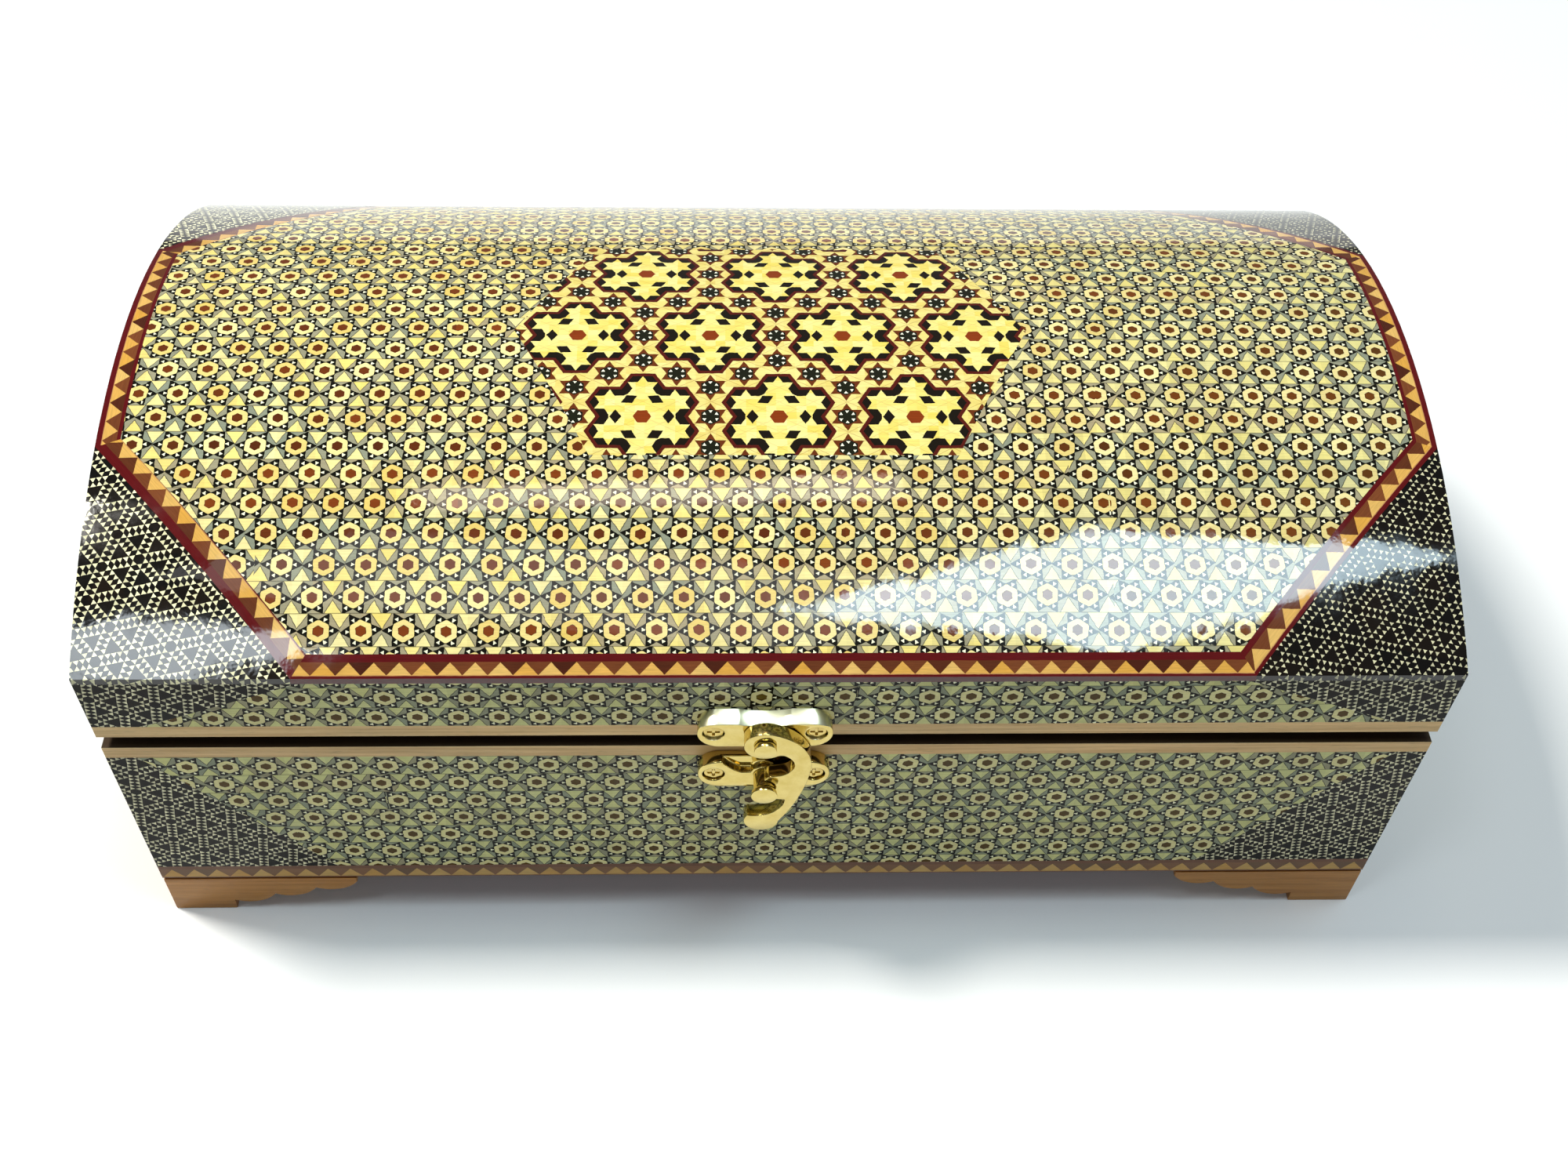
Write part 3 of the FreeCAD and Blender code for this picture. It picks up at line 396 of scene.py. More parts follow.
def makeRosetteGroup(look):
    tree, given, end = newGroup("rosetteMosaic", {"Along": 0.0, "Up": 0.0}, {"Color": "Color"})
    a, h = look["pitch"], look["pitch"] * sin60
    along = given["Along"]
    up = given["Up"] * (h / look["rowPitch"])  # the rows lie a little closer than a true lattice
    shakeX, shakeY = drift(tree, along, up, look["wobbleScale"], 1.0)
    along = along + shakeX * look["wobble"]
    up = up + shakeY * look["wobble"]
    rowA = (up / (2 * h)).nearest()
    colA = (along / a).nearest()
    xA, yA = along - colA * a, up - rowA * (2 * h)
    rowB = ((up - h) / (2 * h)).nearest()
    colB = ((along - a / 2) / a).nearest()
    xB, yB = along - a / 2 - colB * a, up - h - rowB * (2 * h)
    nearB = (xB.square() + yB.square()).below(xA.square() + yA.square())
    qx, qy = hexFold(pick(nearB, xB, xA), pick(nearB, yB, yA))
    armX, armY = look["armReach"] * sin60, look["armReach"] * 0.5
    slant = qx * sin60 + qy * 0.5
    heart = slant.below(look["heartReach"])
    arm = hexagram(qx - armX, qy - armY).below(look["armRadius"])
    notch = (abs(qx - look["notchAt"]) / look["notchWide"] + qy / look["notchTall"]).below(1.0)
    middle = qx.below(look["middleFlat"]).least(slant.below(look["armReach"]))
    gold = arm.most(middle).least(notch.flip())
    hexX, hexY = abs(qx - armX), abs(qy - armY)
    around = (hexX * sin60 + hexY * 0.5).most(qy - armY)
    core = slant.below(look["coreReach"])
    inside = around.below(look["blackReach"]).most(core)
    outline = around.below(look["outlineReach"]).most(core)
    # small dark stars where rosettes meet, one at each side's middle and one in each corner
    edgeX, edgeY = qx - a / 2, qy
    cornX, cornY = qx - a / 2, qy - a * halfTan30
    small = hexagram(edgeX, edgeY).least(hexagram(cornX, cornY)).below(look["smallStar"])
    nearCorner = (cornX.square() + cornY.square()).below(edgeX.square() + edgeY.square())
    dotX, dotY = hexFold(pick(nearCorner, cornY, edgeY), pick(nearCorner, cornX, edgeX))
    dots = dotX.above(look["dotFrom"]).least(dotX.below(look["dotTo"]))
    dots = dots.least(((dotX - look["dotTip"]) * look["dotSlope"]).above(dotY))
    hub = (dotX * sin60 + dotY * 0.5).below(look["hubReach"])
    tile = chance(tree, (along / look["tileWide"]).floor(), (up / look["tileTall"]).floor(), nearB)
    linesB = ((along * 0.5 + up * sin60) / look["lineGap"]).fract().below(look["lineShare"])
    linesC = ((along * 0.5 - up * sin60) / look["lineGap"]).fract().below(look["lineShare"])
    lines = linesB.most(linesC)
    goldTone = blendColor(tree, tile, look["gold"], look["goldPale"])
    groundTone = blendColor(tree, tile, look["ground"], look["groundWarm"])
    color = blendColor(tree, lines * look["groundLines"], groundTone, look["line"])
    color = blendColor(tree, small, color, look["star"])
    color = blendColor(tree, hub, color, look["dark"])
    color = blendColor(tree, dots, color, look["white"])
    color = blendColor(tree, outline, color, look["outline"])
    color = blendColor(tree, inside, color, look["black"])
    goldTone = blendColor(tree, lines * look["goldLines"], goldTone, look["line"])
    color = blendColor(tree, gold, color, goldTone)
    color = blendColor(tree, heart, color, look["heart"])
    fibre = cloud(tree, joinXyz(tree, along * 0.2, up * 3.0), 1.0, 3.0, 0.6)
    color = shaded(tree, color, ramp(fibre, 0.25, 0.75, *look["fibreTone"]))
    tree.links.new(color.socket, end.inputs["Color"])
    return tree


# Border strips: a row of orange triangles on dark brown between red lines.
stripLook = dict(
    pitch=4.93, red=0.85, tall=2.75, frontRed=0.66, frontTall=2.5, slantWidth=5.3, baseShare=0.485,
    peachLine=0.16, topGap=0.12, waveScale=0.6, riseWave=0.14, sideWave=0.2, fibreTone=(0.78, 1.15),
    orange=(0.64, 0.32, 0.045), orangePale=(0.70, 0.44, 0.13), brown=(0.058, 0.010, 0.003),
    brownPale=(0.19, 0.055, 0.016), crimson=(0.100, 0.003, 0.004), peach=(0.50, 0.24, 0.09),
)


def makeStripGroup(look):
    given = {"Along": 0.0, "Depth": 0.0, "Red": look["red"], "Tall": look["tall"]}
    tree, given, end = newGroup("triangleStrip", given, {"Color": "Color"})
    along, depth, tall = given["Along"], given["Depth"], given["Tall"]  # depth from the side of the bases
    wave = cloud(tree, joinXyz(tree, along, depth), look["waveScale"], 2.0) - 0.5
    rise = depth - given["Red"] + wave * look["riseWave"]
    column = (along / look["pitch"]).nearest()
    px = abs(along - column * look["pitch"] + wave * look["sideWave"])
    triangle = ((tall - rise) / tall * (look["pitch"] * look["baseShare"])).above(px)
    triangle = triangle.least(rise.above(0.0)).least(rise.below(tall))
    orange = blendColor(tree, chance(tree, column, 4.0), look["orange"], look["orangePale"])
    brownTone = chance(tree, (along / look["pitch"]).floor(), 8.0)
    brown = blendColor(tree, brownTone, look["brown"], look["brownPale"])
    fibre = cloud(tree, joinXyz(tree, along * 0.25, depth * 3.5), 1.0, 3.0, 0.6)
    color = blendColor(tree, triangle, brown, orange)
    color = blendColor(tree, rise.below(0.0).least(rise.above(-look["peachLine"])), color, look["peach"])
    color = blendColor(tree, rise.below(-look["peachLine"]), color, look["crimson"])
    color = blendColor(tree, rise.above(tall + look["topGap"]), color, look["crimson"])
    color = shaded(tree, color, ramp(fibre, 0.25, 0.75, *look["fibreTone"]))
    tree.links.new(color.socket, end.inputs["Color"])
    return tree


# Lacquer: a poured gloss that flows a little, with faint finger marks.
lacquerLook = dict(
    waveScale=0.05, dimpleScale=0.42, dimpleHeight=0.10, smearScale=0.11,
    smooth=0.03, rough=0.10, depth=0.0006,
)


def makeLacquerGroup(look):
    given = {"X": 0.0, "Y": 0.0, "Z": 0.0}
    tree, given, end = newGroup("lacquer", given, {"Height": "Float", "Roughness": "Float"})
    spot = joinXyz(tree, given["X"], given["Y"], given["Z"])
    waves = cloud(tree, spot, look["waveScale"], 2.0, 0.5)
    dimples = cloud(tree, spot, look["dimpleScale"], 2.0, 0.55)
    smears = cloud(tree, spot, look["smearScale"], 4.0, 0.65)
    height = waves + dimples * look["dimpleHeight"]
    roughness = ramp(smears, 0.35, 0.75, look["smooth"], look["rough"])
    tree.links.new(height.socket, end.inputs["Height"])
    tree.links.new(roughness.socket, end.inputs["Roughness"])
    return tree


# Plain wood: fine grain along one direction, with pores and slow colour change.
grainLook = dict(
    figureScale=0.55, figureHeight=0.4, poreFrom=0.60, poreTo=0.72, poreDark=0.28, poreHeight=0.5,
    slowTone=(0.85, 1.1), smooth=0.30, rough=0.42, depth=0.0004,
)


def makeWoodGroup(look):
    given = {
        "Along": 0.0, "Across": 0.0, "Deep": 0.0, "Grain": 1.0,
        "Light": (0.5, 0.3, 0.15), "Dark": (0.3, 0.16, 0.07),
    }
    results = {"Color": "Color", "Height": "Float", "Roughness": "Float"}
    tree, given, end = newGroup("plainWood", given, results)
    along, across, deep, grain = (given[name] for name in ("Along", "Across", "Deep", "Grain"))
    figureSpot = joinXyz(tree, along * 0.05, across * grain, deep * grain)
    figure = cloud(tree, figureSpot, look["figureScale"], 4.0, 0.6)
    poreCloud = cloud(tree, joinXyz(tree, along * 0.35, across * 6.0, deep * 6.0), 1.0, 2.0, 0.5)
    pores = ramp(poreCloud, look["poreFrom"], look["poreTo"])
    slow = cloud(tree, joinXyz(tree, along * 0.02, across * 0.1, deep * 0.1), 1.0, 2.0)
    color = blendColor(tree, ramp(figure, 0.3, 0.7), given["Dark"], given["Light"])
    color = shaded(tree, color, ramp(slow, 0.3, 0.7, *look["slowTone"]) - pores * look["poreDark"])
    height = figure * look["figureHeight"] - pores * look["poreHeight"]
    roughness = ramp(figure, 0.3, 0.7, look["rough"], look["smooth"])
    tree.links.new(color.socket, end.inputs["Color"])
    tree.links.new(height.socket, end.inputs["Height"])
    tree.links.new(roughness.socket, end.inputs["Roughness"])
    return tree


flowerGroup = makeFlowerGroup(flowerLook)
cornerGroup = makeCornerGroup(cornerLook)
rosetteGroup = makeRosetteGroup(rosetteLook)
stripGroup = makeStripGroup(stripLook)
lacquerGroup = makeLacquerGroup(lacquerLook)
woodGroup = makeWoodGroup(grainLook)
print("pattern groups made:", len(bpy.data.node_groups))

# Sizes of the box that the patterns follow: the dome's edge, its corners and its arc.
boxSizes = dict(
    halfLength=137.5, edgeLevel=89.3, cornerX=95.0, cornerY=33.2, domeRadius=144.22, wallSlope=1.005,
)
boxSizes["halfDepth"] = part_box("lid_border")[1][1] * toMillimetres
boxSizes["crownLevel"] = levels("lid_field")[1]
boxSizes["axisLevel"] = boxSizes["crownLevel"] - boxSizes["domeRadius"]
boxSizes["halfArc"] = boxSizes["domeRadius"] * math.asin(boxSizes["halfDepth"] / boxSizes["domeRadius"])

# The dome's lacquer is glossier than the walls'.
domeGloss = dict(bump=0.22, shine=0.5)
wallGloss = dict(bump=0.16, shine=0.08)


def underLacquer(tree, shader, color, spot, gloss):
    x, y, z = spot
    coat = useGroup(tree, lacquerGroup, X=x, Y=y, Z=z)
    relief = addNode(
        tree, "ShaderNodeBump", None,
        Strength=gloss["bump"], Distance=lacquerLook["depth"], Height=coat["Height"],
    )
    plug(color, shader.inputs["Base Color"])
    plug(coat["Roughness"], shader.inputs["Roughness"])
    plug(Wire(relief.outputs["Normal"]), shader.inputs["Normal"])
    shader.inputs["IOR"].default_value = 1.5
    shader.inputs["Specular IOR Level"].default_value = gloss["shine"]


def domeArc(y, z):  # distance round the dome from its crown, negative in front
    return y.math("ARCTAN2", z - boxSizes["axisLevel"]) * boxSizes["domeRadius"]


def onEnd(tree, place):  # a mask for faces that look left or right
    return abs(splitXyz(tree, Wire(place.outputs["Normal"]))[0]).above(0.7)


# Where the first row of flowers and the middle rosette lie on the dome.
domeLook = dict(fieldShift=1.4, fieldRow=9.64, fieldCool=0.6, rosetteShift=15.3, rosetteRow=1.6)


def makeFieldMaterial(look):
    material, tree, shader, place = newMaterial("flowerFieldLacquer")
    x, y, z = millimetres(tree, place)
    up = domeArc(y, z) + (boxSizes["halfArc"] - look["fieldRow"])
    cool = ramp(x, 0.0, boxSizes["halfLength"], 0.0, look["fieldCool"])  # painted shade: the colours turn cooler towards the right
    flowers = useGroup(tree, flowerGroup, Along=x - look["fieldShift"], Up=up, Cool=cool)
    underLacquer(tree, shader, flowers["Color"], (x, y, z), domeGloss)
    return material


def makeMedallionMaterial(look):
    material, tree, shader, place = newMaterial("rosetteLacquer")
    x, y, z = millimetres(tree, place)
    up = domeArc(y, z) + look["rosetteRow"]
    rosettes = useGroup(tree, rosetteGroup, Along=x - look["rosetteShift"], Up=up)
    underLacquer(tree, shader, rosettes["Color"], (x, y, z), domeGloss)
    return material


def makeCornerMaterial(look):
    material, tree, shader, place = newMaterial("cornerLacquer")
    x, y, z = millimetres(tree, place)
    lean = math.radians(look["domeLean"])
    arc = abs(domeArc(y, z))
    # the right corners have smaller triangles, and the mosaic there is darkened as painted shade
    isRight = ramp(x, -look["sideBlend"], look["sideBlend"])
    mosaic = useGroup(
        tree, cornerGroup,
        Along=abs(x) * math.cos(lean) + arc * math.sin(lean),
        Up=arc * math.cos(lean) - abs(x) * math.sin(lean),
        Margin=between(isRight, look["margin"], look["rightMargin"]),
    )
    color = blendColor(tree, isRight, mosaic["Color"], look["rightDim"], "MULTIPLY")
    underLacquer(tree, shader, color, (x, y, z), domeGloss)
    return material


def makeLidBorderMaterial(look):
    material, tree, shader, place = newMaterial("lidBorderLacquer")
    x, y, z = millimetres(tree, place)
    arc = domeArc(y, z)
    run = boxSizes["halfLength"] - boxSizes["cornerX"]
    fall = boxSizes["halfDepth"] - boxSizes["cornerY"]
    slantLength = math.hypot(run, fall)
    outX, outY = fall / slantLength, run / slantLength
    reach = boxSizes["cornerX"] * outX + boxSizes["halfDepth"] * outY
    fromFront = -abs(arc) + boxSizes["halfArc"]
    fromEnd = -abs(x) + boxSizes["halfLength"]
    fromSlant = abs(x) * -outX - abs(y) * outY + reach
    alongSlant = abs(x) * outY - abs(y) * outX
    isSlant = fromSlant.below(fromFront.least(fromEnd))
    isEnd = fromEnd.below(fromFront)
    straight = useGroup(
        tree, stripGroup, Along=pick(isEnd, arc, x), Depth=pick(isEnd, fromEnd, fromFront),
        Red=between(isEnd, look["frontRed"], look["red"]),
        Tall=between(isEnd, look["frontTall"], look["tall"]),
    )
    # the slanting strips on the left lie the other way round
    slantDepth = pick(x.above(0.0), fromSlant, -fromSlant + look["slantWidth"])
    slanted = useGroup(tree, stripGroup, Along=alongSlant, Depth=slantDepth)
    color = blendColor(tree, isSlant, straight["Color"], slanted["Color"])
    underLacquer(tree, shader, color, (x, y, z), domeGloss)
    return material


# Walls: flowers with dark corners. The boundary slants from one half width at the top of the wall to
# another at its foot, with one pair for the long walls and one for the ends.
skirtLook = dict(
    name="skirtLacquer", low=levels("lid_khatam_front")[0], top=boxSizes["edgeLevel"],
    longTop=90.0, longLow=127.0, endTop=40.0, endLow=69.0, firstRow=6.56, shift=-2.8,
)
chestLook = dict(
    name="chestLacquer", low=levels("base_khatam_front")[0], top=levels("base_khatam_front")[1],
    longTop=130.5, longLow=96.0, endTop=69.5, endLow=38.0, firstRow=30.68, shift=3.0,
)


def makeWallMaterial(look):
    material, tree, shader, place = newMaterial(look["name"])
    x, y, z = millimetres(tree, place)
    isEnd = onEnd(tree, place)
    along = pick(isEnd, y, x)
    up = (z - boxSizes["edgeLevel"]) * boxSizes["wallSlope"]
    # Cool=1.0 gives the walls the cooler, greyer, lifted copy of the mosaics: painted greenish shade and
    # painted haze.
    flowers = useGroup(tree, flowerGroup, Along=along - look["shift"], Up=up + look["firstRow"], Cool=1.0)
    lean = math.radians(cornerLook["wallLean"])
    mosaic = useGroup(
        tree, cornerGroup,
        Along=up * math.cos(lean) - abs(along) * math.sin(lean),
        Up=abs(along) * math.cos(lean) + up * math.sin(lean),
        Cool=1.0,
    )
    part = ramp(z, look["low"], look["top"])
    longLine = between(part, look["longLow"], look["longTop"])
    endLine = between(part, look["endLow"], look["endTop"])
    isDark = (abs(along) - pick(isEnd, endLine, longLine)).above(0.0)
    color = blendColor(tree, isDark, flowers["Color"], mosaic["Color"])
    underLacquer(tree, shader, color, (x, y, z), wallGloss)
    return material


# The strip round the foot of the chest is faded.
baseBorderLook = dict(red=0.45, tall=3.0, faded=(0.62, 0.45, 0.30), fading=0.24)


def makeBaseBorderMaterial(look):
    material, tree, shader, place = newMaterial("baseBorderLacquer")
    x, y, z = millimetres(tree, place)
    along = pick(onEnd(tree, place), y, x)
    depth = z - levels("base_border")[0]
    strip = useGroup(tree, stripGroup, Along=along, Depth=depth, Red=look["red"], Tall=look["tall"])
    color = blendColor(tree, look["fading"], strip["Color"], look["faded"])
    underLacquer(tree, shader, color, (x, y, z), wallGloss)
    return material


# Woods. The rims' faces that look up or down are painted nearly black, as painted shade in the gap between
# lid and chest.
rimLook = dict(
    name="rimWood", light=(0.90, 0.62, 0.30), dark=(0.62, 0.36, 0.15), grain=1.8, relief=0.14, shine=0.25,
    staining=0.93,
)
footLook = dict(
    name="footWood", light=(0.63, 0.29, 0.072), dark=(0.42, 0.168, 0.036), grain=1.1, relief=0.15, shine=0.3,
    staining=0.0,
)
boardLook = dict(
    name="boardWood", light=(0.46, 0.32, 0.18), dark=(0.35, 0.22, 0.11), grain=0.9, relief=0.2, shine=0.4,
    staining=0.0,
)
gapShadeColor = (0.012, 0.006, 0.005)


def makeWoodMaterial(look):
    material, tree, shader, place = newMaterial(look["name"])
    x, y, z = millimetres(tree, place)
    isEnd = onEnd(tree, place)
    facingUp = splitXyz(tree, Wire(place.outputs["Normal"]))[2]
    wood = useGroup(
        tree, woodGroup, Along=pick(isEnd, y, x), Across=z, Deep=pick(isEnd, x, y),
        Light=look["light"], Dark=look["dark"], Grain=look["grain"],
    )
    relief = addNode(
        tree, "ShaderNodeBump", None,
        Strength=look["relief"], Distance=grainLook["depth"], Height=wood["Height"],
    )
    # painted shade: faces that look up or down turn nearly black
    inGapShade = ramp(abs(facingUp), 0.55, 0.8) * look["staining"]
    plug(blendColor(tree, inGapShade, wood["Color"], gapShadeColor), shader.inputs["Base Color"])
    plug(wood["Roughness"], shader.inputs["Roughness"])
    plug(Wire(relief.outputs["Normal"]), shader.inputs["Normal"])
    shader.inputs["Specular IOR Level"].default_value = look["shine"]
    return material


velvetLook = dict(name="burgundyVelvet", deep=(0.085, 0.004, 0.012), lit=(0.20, 0.012, 0.030), sheen=0.8)
feltLook = dict(name="burgundyFelt", deep=(0.075, 0.006, 0.018), lit=(0.15, 0.015, 0.035), sheen=0.3)
pileLook = dict(
    pileScale=3.2, brushScale=0.045, relief=0.35, depth=0.0004, smooth=0.8, rough=0.95,
    sheenRoughness=0.35, sheenTint=(0.75, 0.25, 0.30),
)


def makePileMaterial(look):
    material, tree, shader, place = newMaterial(look["name"])
    spot = joinXyz(tree, *millimetres(tree, place))
    pile = cloud(tree, spot, pileLook["pileScale"], 3.0, 0.7)
    brushed = cloud(tree, spot, pileLook["brushScale"], 3.0, 0.55)
    tone = ramp(pile, 0.3, 0.7, 0.0, 0.6) + ramp(brushed, 0.35, 0.65, 0.0, 0.4)
    relief = addNode(
        tree, "ShaderNodeBump", None,
        Strength=pileLook["relief"], Distance=pileLook["depth"], Height=pile,
    )
    plug(blendColor(tree, tone, look["deep"], look["lit"]), shader.inputs["Base Color"])
    plug(ramp(pile, 0.3, 0.7, pileLook["smooth"], pileLook["rough"]), shader.inputs["Roughness"])
    plug(Wire(relief.outputs["Normal"]), shader.inputs["Normal"])
    shader.inputs["Sheen Weight"].default_value = look["sheen"]
    shader.inputs["Sheen Roughness"].default_value = pileLook["sheenRoughness"]
    shader.inputs["Sheen Tint"].default_value = (*pileLook["sheenTint"], 1.0)
    return material


brassLook = dict(
    name="polishedBrass", bright=(0.66, 0.53, 0.19), dull=(0.57, 0.43, 0.125), smooth=0.05, rough=0.12,
    upper=0.15, worn=(0.66, 0.53, 0.19),
)
# The top plate's upper side takes a near-white colour: a painted highlight.
plateBrassLook = dict(brassLook, name="plateBrass", upper=0.28, worn=(0.93, 0.89, 0.60))
screwLook = dict(
    name="screwBrass", bright=(0.66, 0.51, 0.18), dull=(0.48, 0.34, 0.09), smooth=0.10, rough=0.24,
    upper=0.24, worn=(0.66, 0.51, 0.18),
)
tarnishLook = dict(
    bloomScale=0.35, scuffScale=1.3, scuffAlong=0.6, scuffAcross=2.2, scuffHeight=0.4,
    relief=0.012, depth=0.0003,
)


def makeBrassMaterial(look):
    material, tree, shader, place = newMaterial(look["name"])
    x, y, z = millimetres(tree, place)
    along, across = tarnishLook["scuffAlong"], tarnishLook["scuffAcross"]
    scuffSpot = joinXyz(tree, x * along, y * across, z * across)
    bloom = cloud(tree, joinXyz(tree, x, y, z), tarnishLook["bloomScale"], 4.0, 0.6)
    scuffs = cloud(tree, scuffSpot, tarnishLook["scuffScale"], 4.0, 0.65)
    color = blendColor(tree, ramp(bloom, 0.35, 0.7), look["bright"], look["dull"])
    relief = addNode(
        tree, "ShaderNodeBump", None, Strength=tarnishLook["relief"], Distance=tarnishLook["depth"],
        Height=scuffs * tarnishLook["scuffHeight"] + bloom,
    )
    facingUp = splitXyz(tree, Wire(place.outputs["Normal"]))[2]
    isUpper = ramp(facingUp, 0.25, 0.6)  # upper sides are a little dull, and take a lighter colour as a painted highlight, palest on the top plate
    polish = ramp(scuffs, 0.3, 0.75, look["smooth"], look["rough"])
    plug(blendColor(tree, isUpper, color, look["worn"]), shader.inputs["Base Color"])
    plug(polish + (-polish + look["upper"]) * isUpper, shader.inputs["Roughness"])
    plug(Wire(relief.outputs["Normal"]), shader.inputs["Normal"])
    shader.inputs["Metallic"].default_value = 1.0
    return material


finishes = {
    "field": makeFieldMaterial(domeLook),
    "medallion_mosaic": makeMedallionMaterial(domeLook),
    "dark_mosaic": makeCornerMaterial(cornerLook),
    "lidBorder": makeLidBorderMaterial(stripLook),
    "baseBorder": makeBaseBorderMaterial(baseBorderLook),
    "skirt": makeWallMaterial(skirtLook),
    "chest": makeWallMaterial(chestLook),
    "rim_wood": makeWoodMaterial(rimLook),
    "foot_wood": makeWoodMaterial(footLook),
    "board_wood": makeWoodMaterial(boardLook),
    "velvet": makePileMaterial(velvetLook),
    "felt": makePileMaterial(feltLook),
    "brass": makeBrassMaterial(brassLook),
    "plateBrass": makeBrassMaterial(plateBrassLook),
    "screw_brass": makeBrassMaterial(screwLook),
}
print("finishes made:", len(finishes))

# Nodes whose finish isn't the one that their slot names.
ownFinish = {
    "lid_field": "field",
    "lid_border": "lidBorder",
    "base_border": "baseBorder",
    "clasp_top_plate": "plateBrass",
}


def finishFor(node):
    if node.startswith("lid_khatam"):
        return finishes["skirt"]
    if node.startswith("base_khatam"):
        return finishes["chest"]
    return finishes[ownFinish.get(node, slotOf[node])]


for node, solid in nodes.items():
    solid.data.materials.clear()
    solid.data.materials.append(finishFor(node))

# The rims are rings of four bars that only touch, so the end bars are parted from the long ones.
ringLook = dict(nodes=("lid_rim", "base_rim"), endFrom=0.125, endHalf=0.0708)


def partEndBars(piece, look):
    bpy.ops.mesh.select_mode(type="FACE")
    bpy.ops.mesh.select_all(action="DESELECT")
    bpy.ops.object.mode_set(mode="OBJECT")
    for face in piece.data.polygons:
        widest = max(abs(piece.data.vertices[index].co.y) for index in face.vertices)
        face.select = abs(face.center.x) > look["endFrom"] and widest < look["endHalf"]
    bpy.ops.object.mode_set(mode="EDIT")
    bpy.ops.mesh.split()
    bpy.ops.mesh.select_all(action="SELECT")


def applied(piece, name, kind, **settings):
    modifier = piece.modifiers.new(name, kind)
    for key, value in settings.items():
        setattr(modifier, key, value)
    bpy.ops.object.modifier_apply(modifier=modifier.name)


# A working copy of a node: merged, cleaned, its edges softened, then put in the node's place.
copyLook = dict(mergeWithin=0.000002, flatWithin=0.4, softenFrom=40)


def softened(node, width=0.0, segments=2, smoothAngle=32, reshape=None):
    bpy.ops.object.select_all(action="DESELECT")
    piece = nodes[node].copy()
    piece.data = nodes[node].data.copy()
    piece.name = "".join(word.capitalize() if place else word for place, word in enumerate(node.split("_")))
    piece.parent = None
    for key in list(piece.keys()):
        del piece[key]
    scene.collection.objects.link(piece)
    piece.select_set(True)
    bpy.context.view_layer.objects.active = piece
    bpy.ops.mesh.customdata_custom_splitnormals_clear()
    bpy.ops.object.mode_set(mode="EDIT")
    bpy.ops.mesh.select_all(action="SELECT")
    bpy.ops.mesh.remove_doubles(threshold=copyLook["mergeWithin"])
    if node in ringLook["nodes"]:
        partEndBars(piece, ringLook)
    bpy.ops.mesh.dissolve_limited(angle_limit=math.radians(copyLook["flatWithin"]))
    bpy.ops.object.mode_set(mode="OBJECT")
    if reshape:
        reshape(piece)
    if width:
        applied(
            piece, "softEdges", "BEVEL", width=width, segments=segments, limit_method="ANGLE",
            angle_limit=math.radians(copyLook["softenFrom"]),
        )
    bpy.ops.object.shade_smooth_by_angle(angle=math.radians(smoothAngle))
    if not width:  # strips that touch share edges, so sharp edges are parted to keep each side flat
        applied(piece, "sharpSeams", "EDGE_SPLIT", split_angle=math.radians(smoothAngle))
    elif slotOf[node].endswith("wood"):
        applied(piece, "flatSides", "WEIGHTED_NORMAL", keep_sharp=True)
    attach(piece, bodyOf[node])
    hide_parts(node)
    return piece


# The top plate's upper side slopes forward, which turns its reflection up to the lamps.
plateLook = dict(
    outward=(0.0, -0.99499, -0.09999), faceWithin=0.00002, backFrom=0.003,
    halfHeight=0.0045, slopeFrom=0.0023, slopeScale=0.48, waist=0.0054,
)


def squeezeHeight(piece, chosen, level, scale):
    bpy.ops.object.mode_set(mode="EDIT")
    bpy.ops.mesh.select_mode(type="VERT")
    bpy.ops.mesh.select_all(action="DESELECT")
    bpy.ops.object.mode_set(mode="OBJECT")
    for vertex in piece.data.vertices:
        vertex.select = chosen(vertex.co)
    bpy.ops.object.mode_set(mode="EDIT")
    bpy.ops.transform.resize(value=(1.0, 1.0, scale), center_override=(0.0, 0.0, level))
    bpy.ops.object.mode_set(mode="OBJECT")


def slopeTop(piece):
    look = plateLook
    outward = Vector(look["outward"])
    low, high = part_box("clasp_top_plate")
    middleX = (low[0] + high[0]) / 2
    reach = max(outward.dot(vertex.co) for vertex in piece.data.vertices)

    def inFront(spot):
        return outward.dot(spot) > reach - look["faceWithin"]

    def atBack(spot):
        return outward.dot(spot) < reach - look["backFrom"]

    frontTop = max(vertex.co.z for vertex in piece.data.vertices if inFront(vertex.co))
    backTop = max(vertex.co.z for vertex in piece.data.vertices if atBack(vertex.co))
    frontFrom = frontTop - look["halfHeight"] + look["slopeFrom"]
    backFrom = backTop - look["halfHeight"] + look["slopeFrom"]

    def frontUpper(spot):
        return inFront(spot) and spot.z > frontFrom

    def backUpper(spot):
        return atBack(spot) and spot.z > backFrom and abs(spot.x - middleX) < look["waist"]

    squeezeHeight(piece, frontUpper, frontFrom, look["slopeScale"])
    squeezeHeight(piece, backUpper, backTop, look["slopeScale"])


# How far the edges of the hard pieces are rounded, and the number of steps on the clasp. Veneers stay sharp.
edgeLook = dict(
    rim=0.00035, foot=0.00045, topPlate=0.0003, keeperPlate=0.0004, hook=0.0005, post=0.0003, rivet=0.0003,
    fittings=0.0002, claspSteps=3,
)
veneerNodes = [node for node in nodes if "khatam" in node]
veneerNodes += ["lid_field", "lid_medallion", "lid_border", "lid_corners", "base_border"]
screwNodes = ["clasp_lid_screws", "clasp_keeper_screws", "hinge_lid_screws", "hinge_base_screws"]
footNodes = [node for node in nodes if node.startswith("foot_")]
hingeNodes = [node for node in nodes if node.startswith("hinge_") and slotOf[node] == "brass"]
for node in veneerNodes:
    softened(node)
for node in ringLook["nodes"]:
    softened(node, edgeLook["rim"])
for node in footNodes:
    softened(node, edgeLook["foot"])
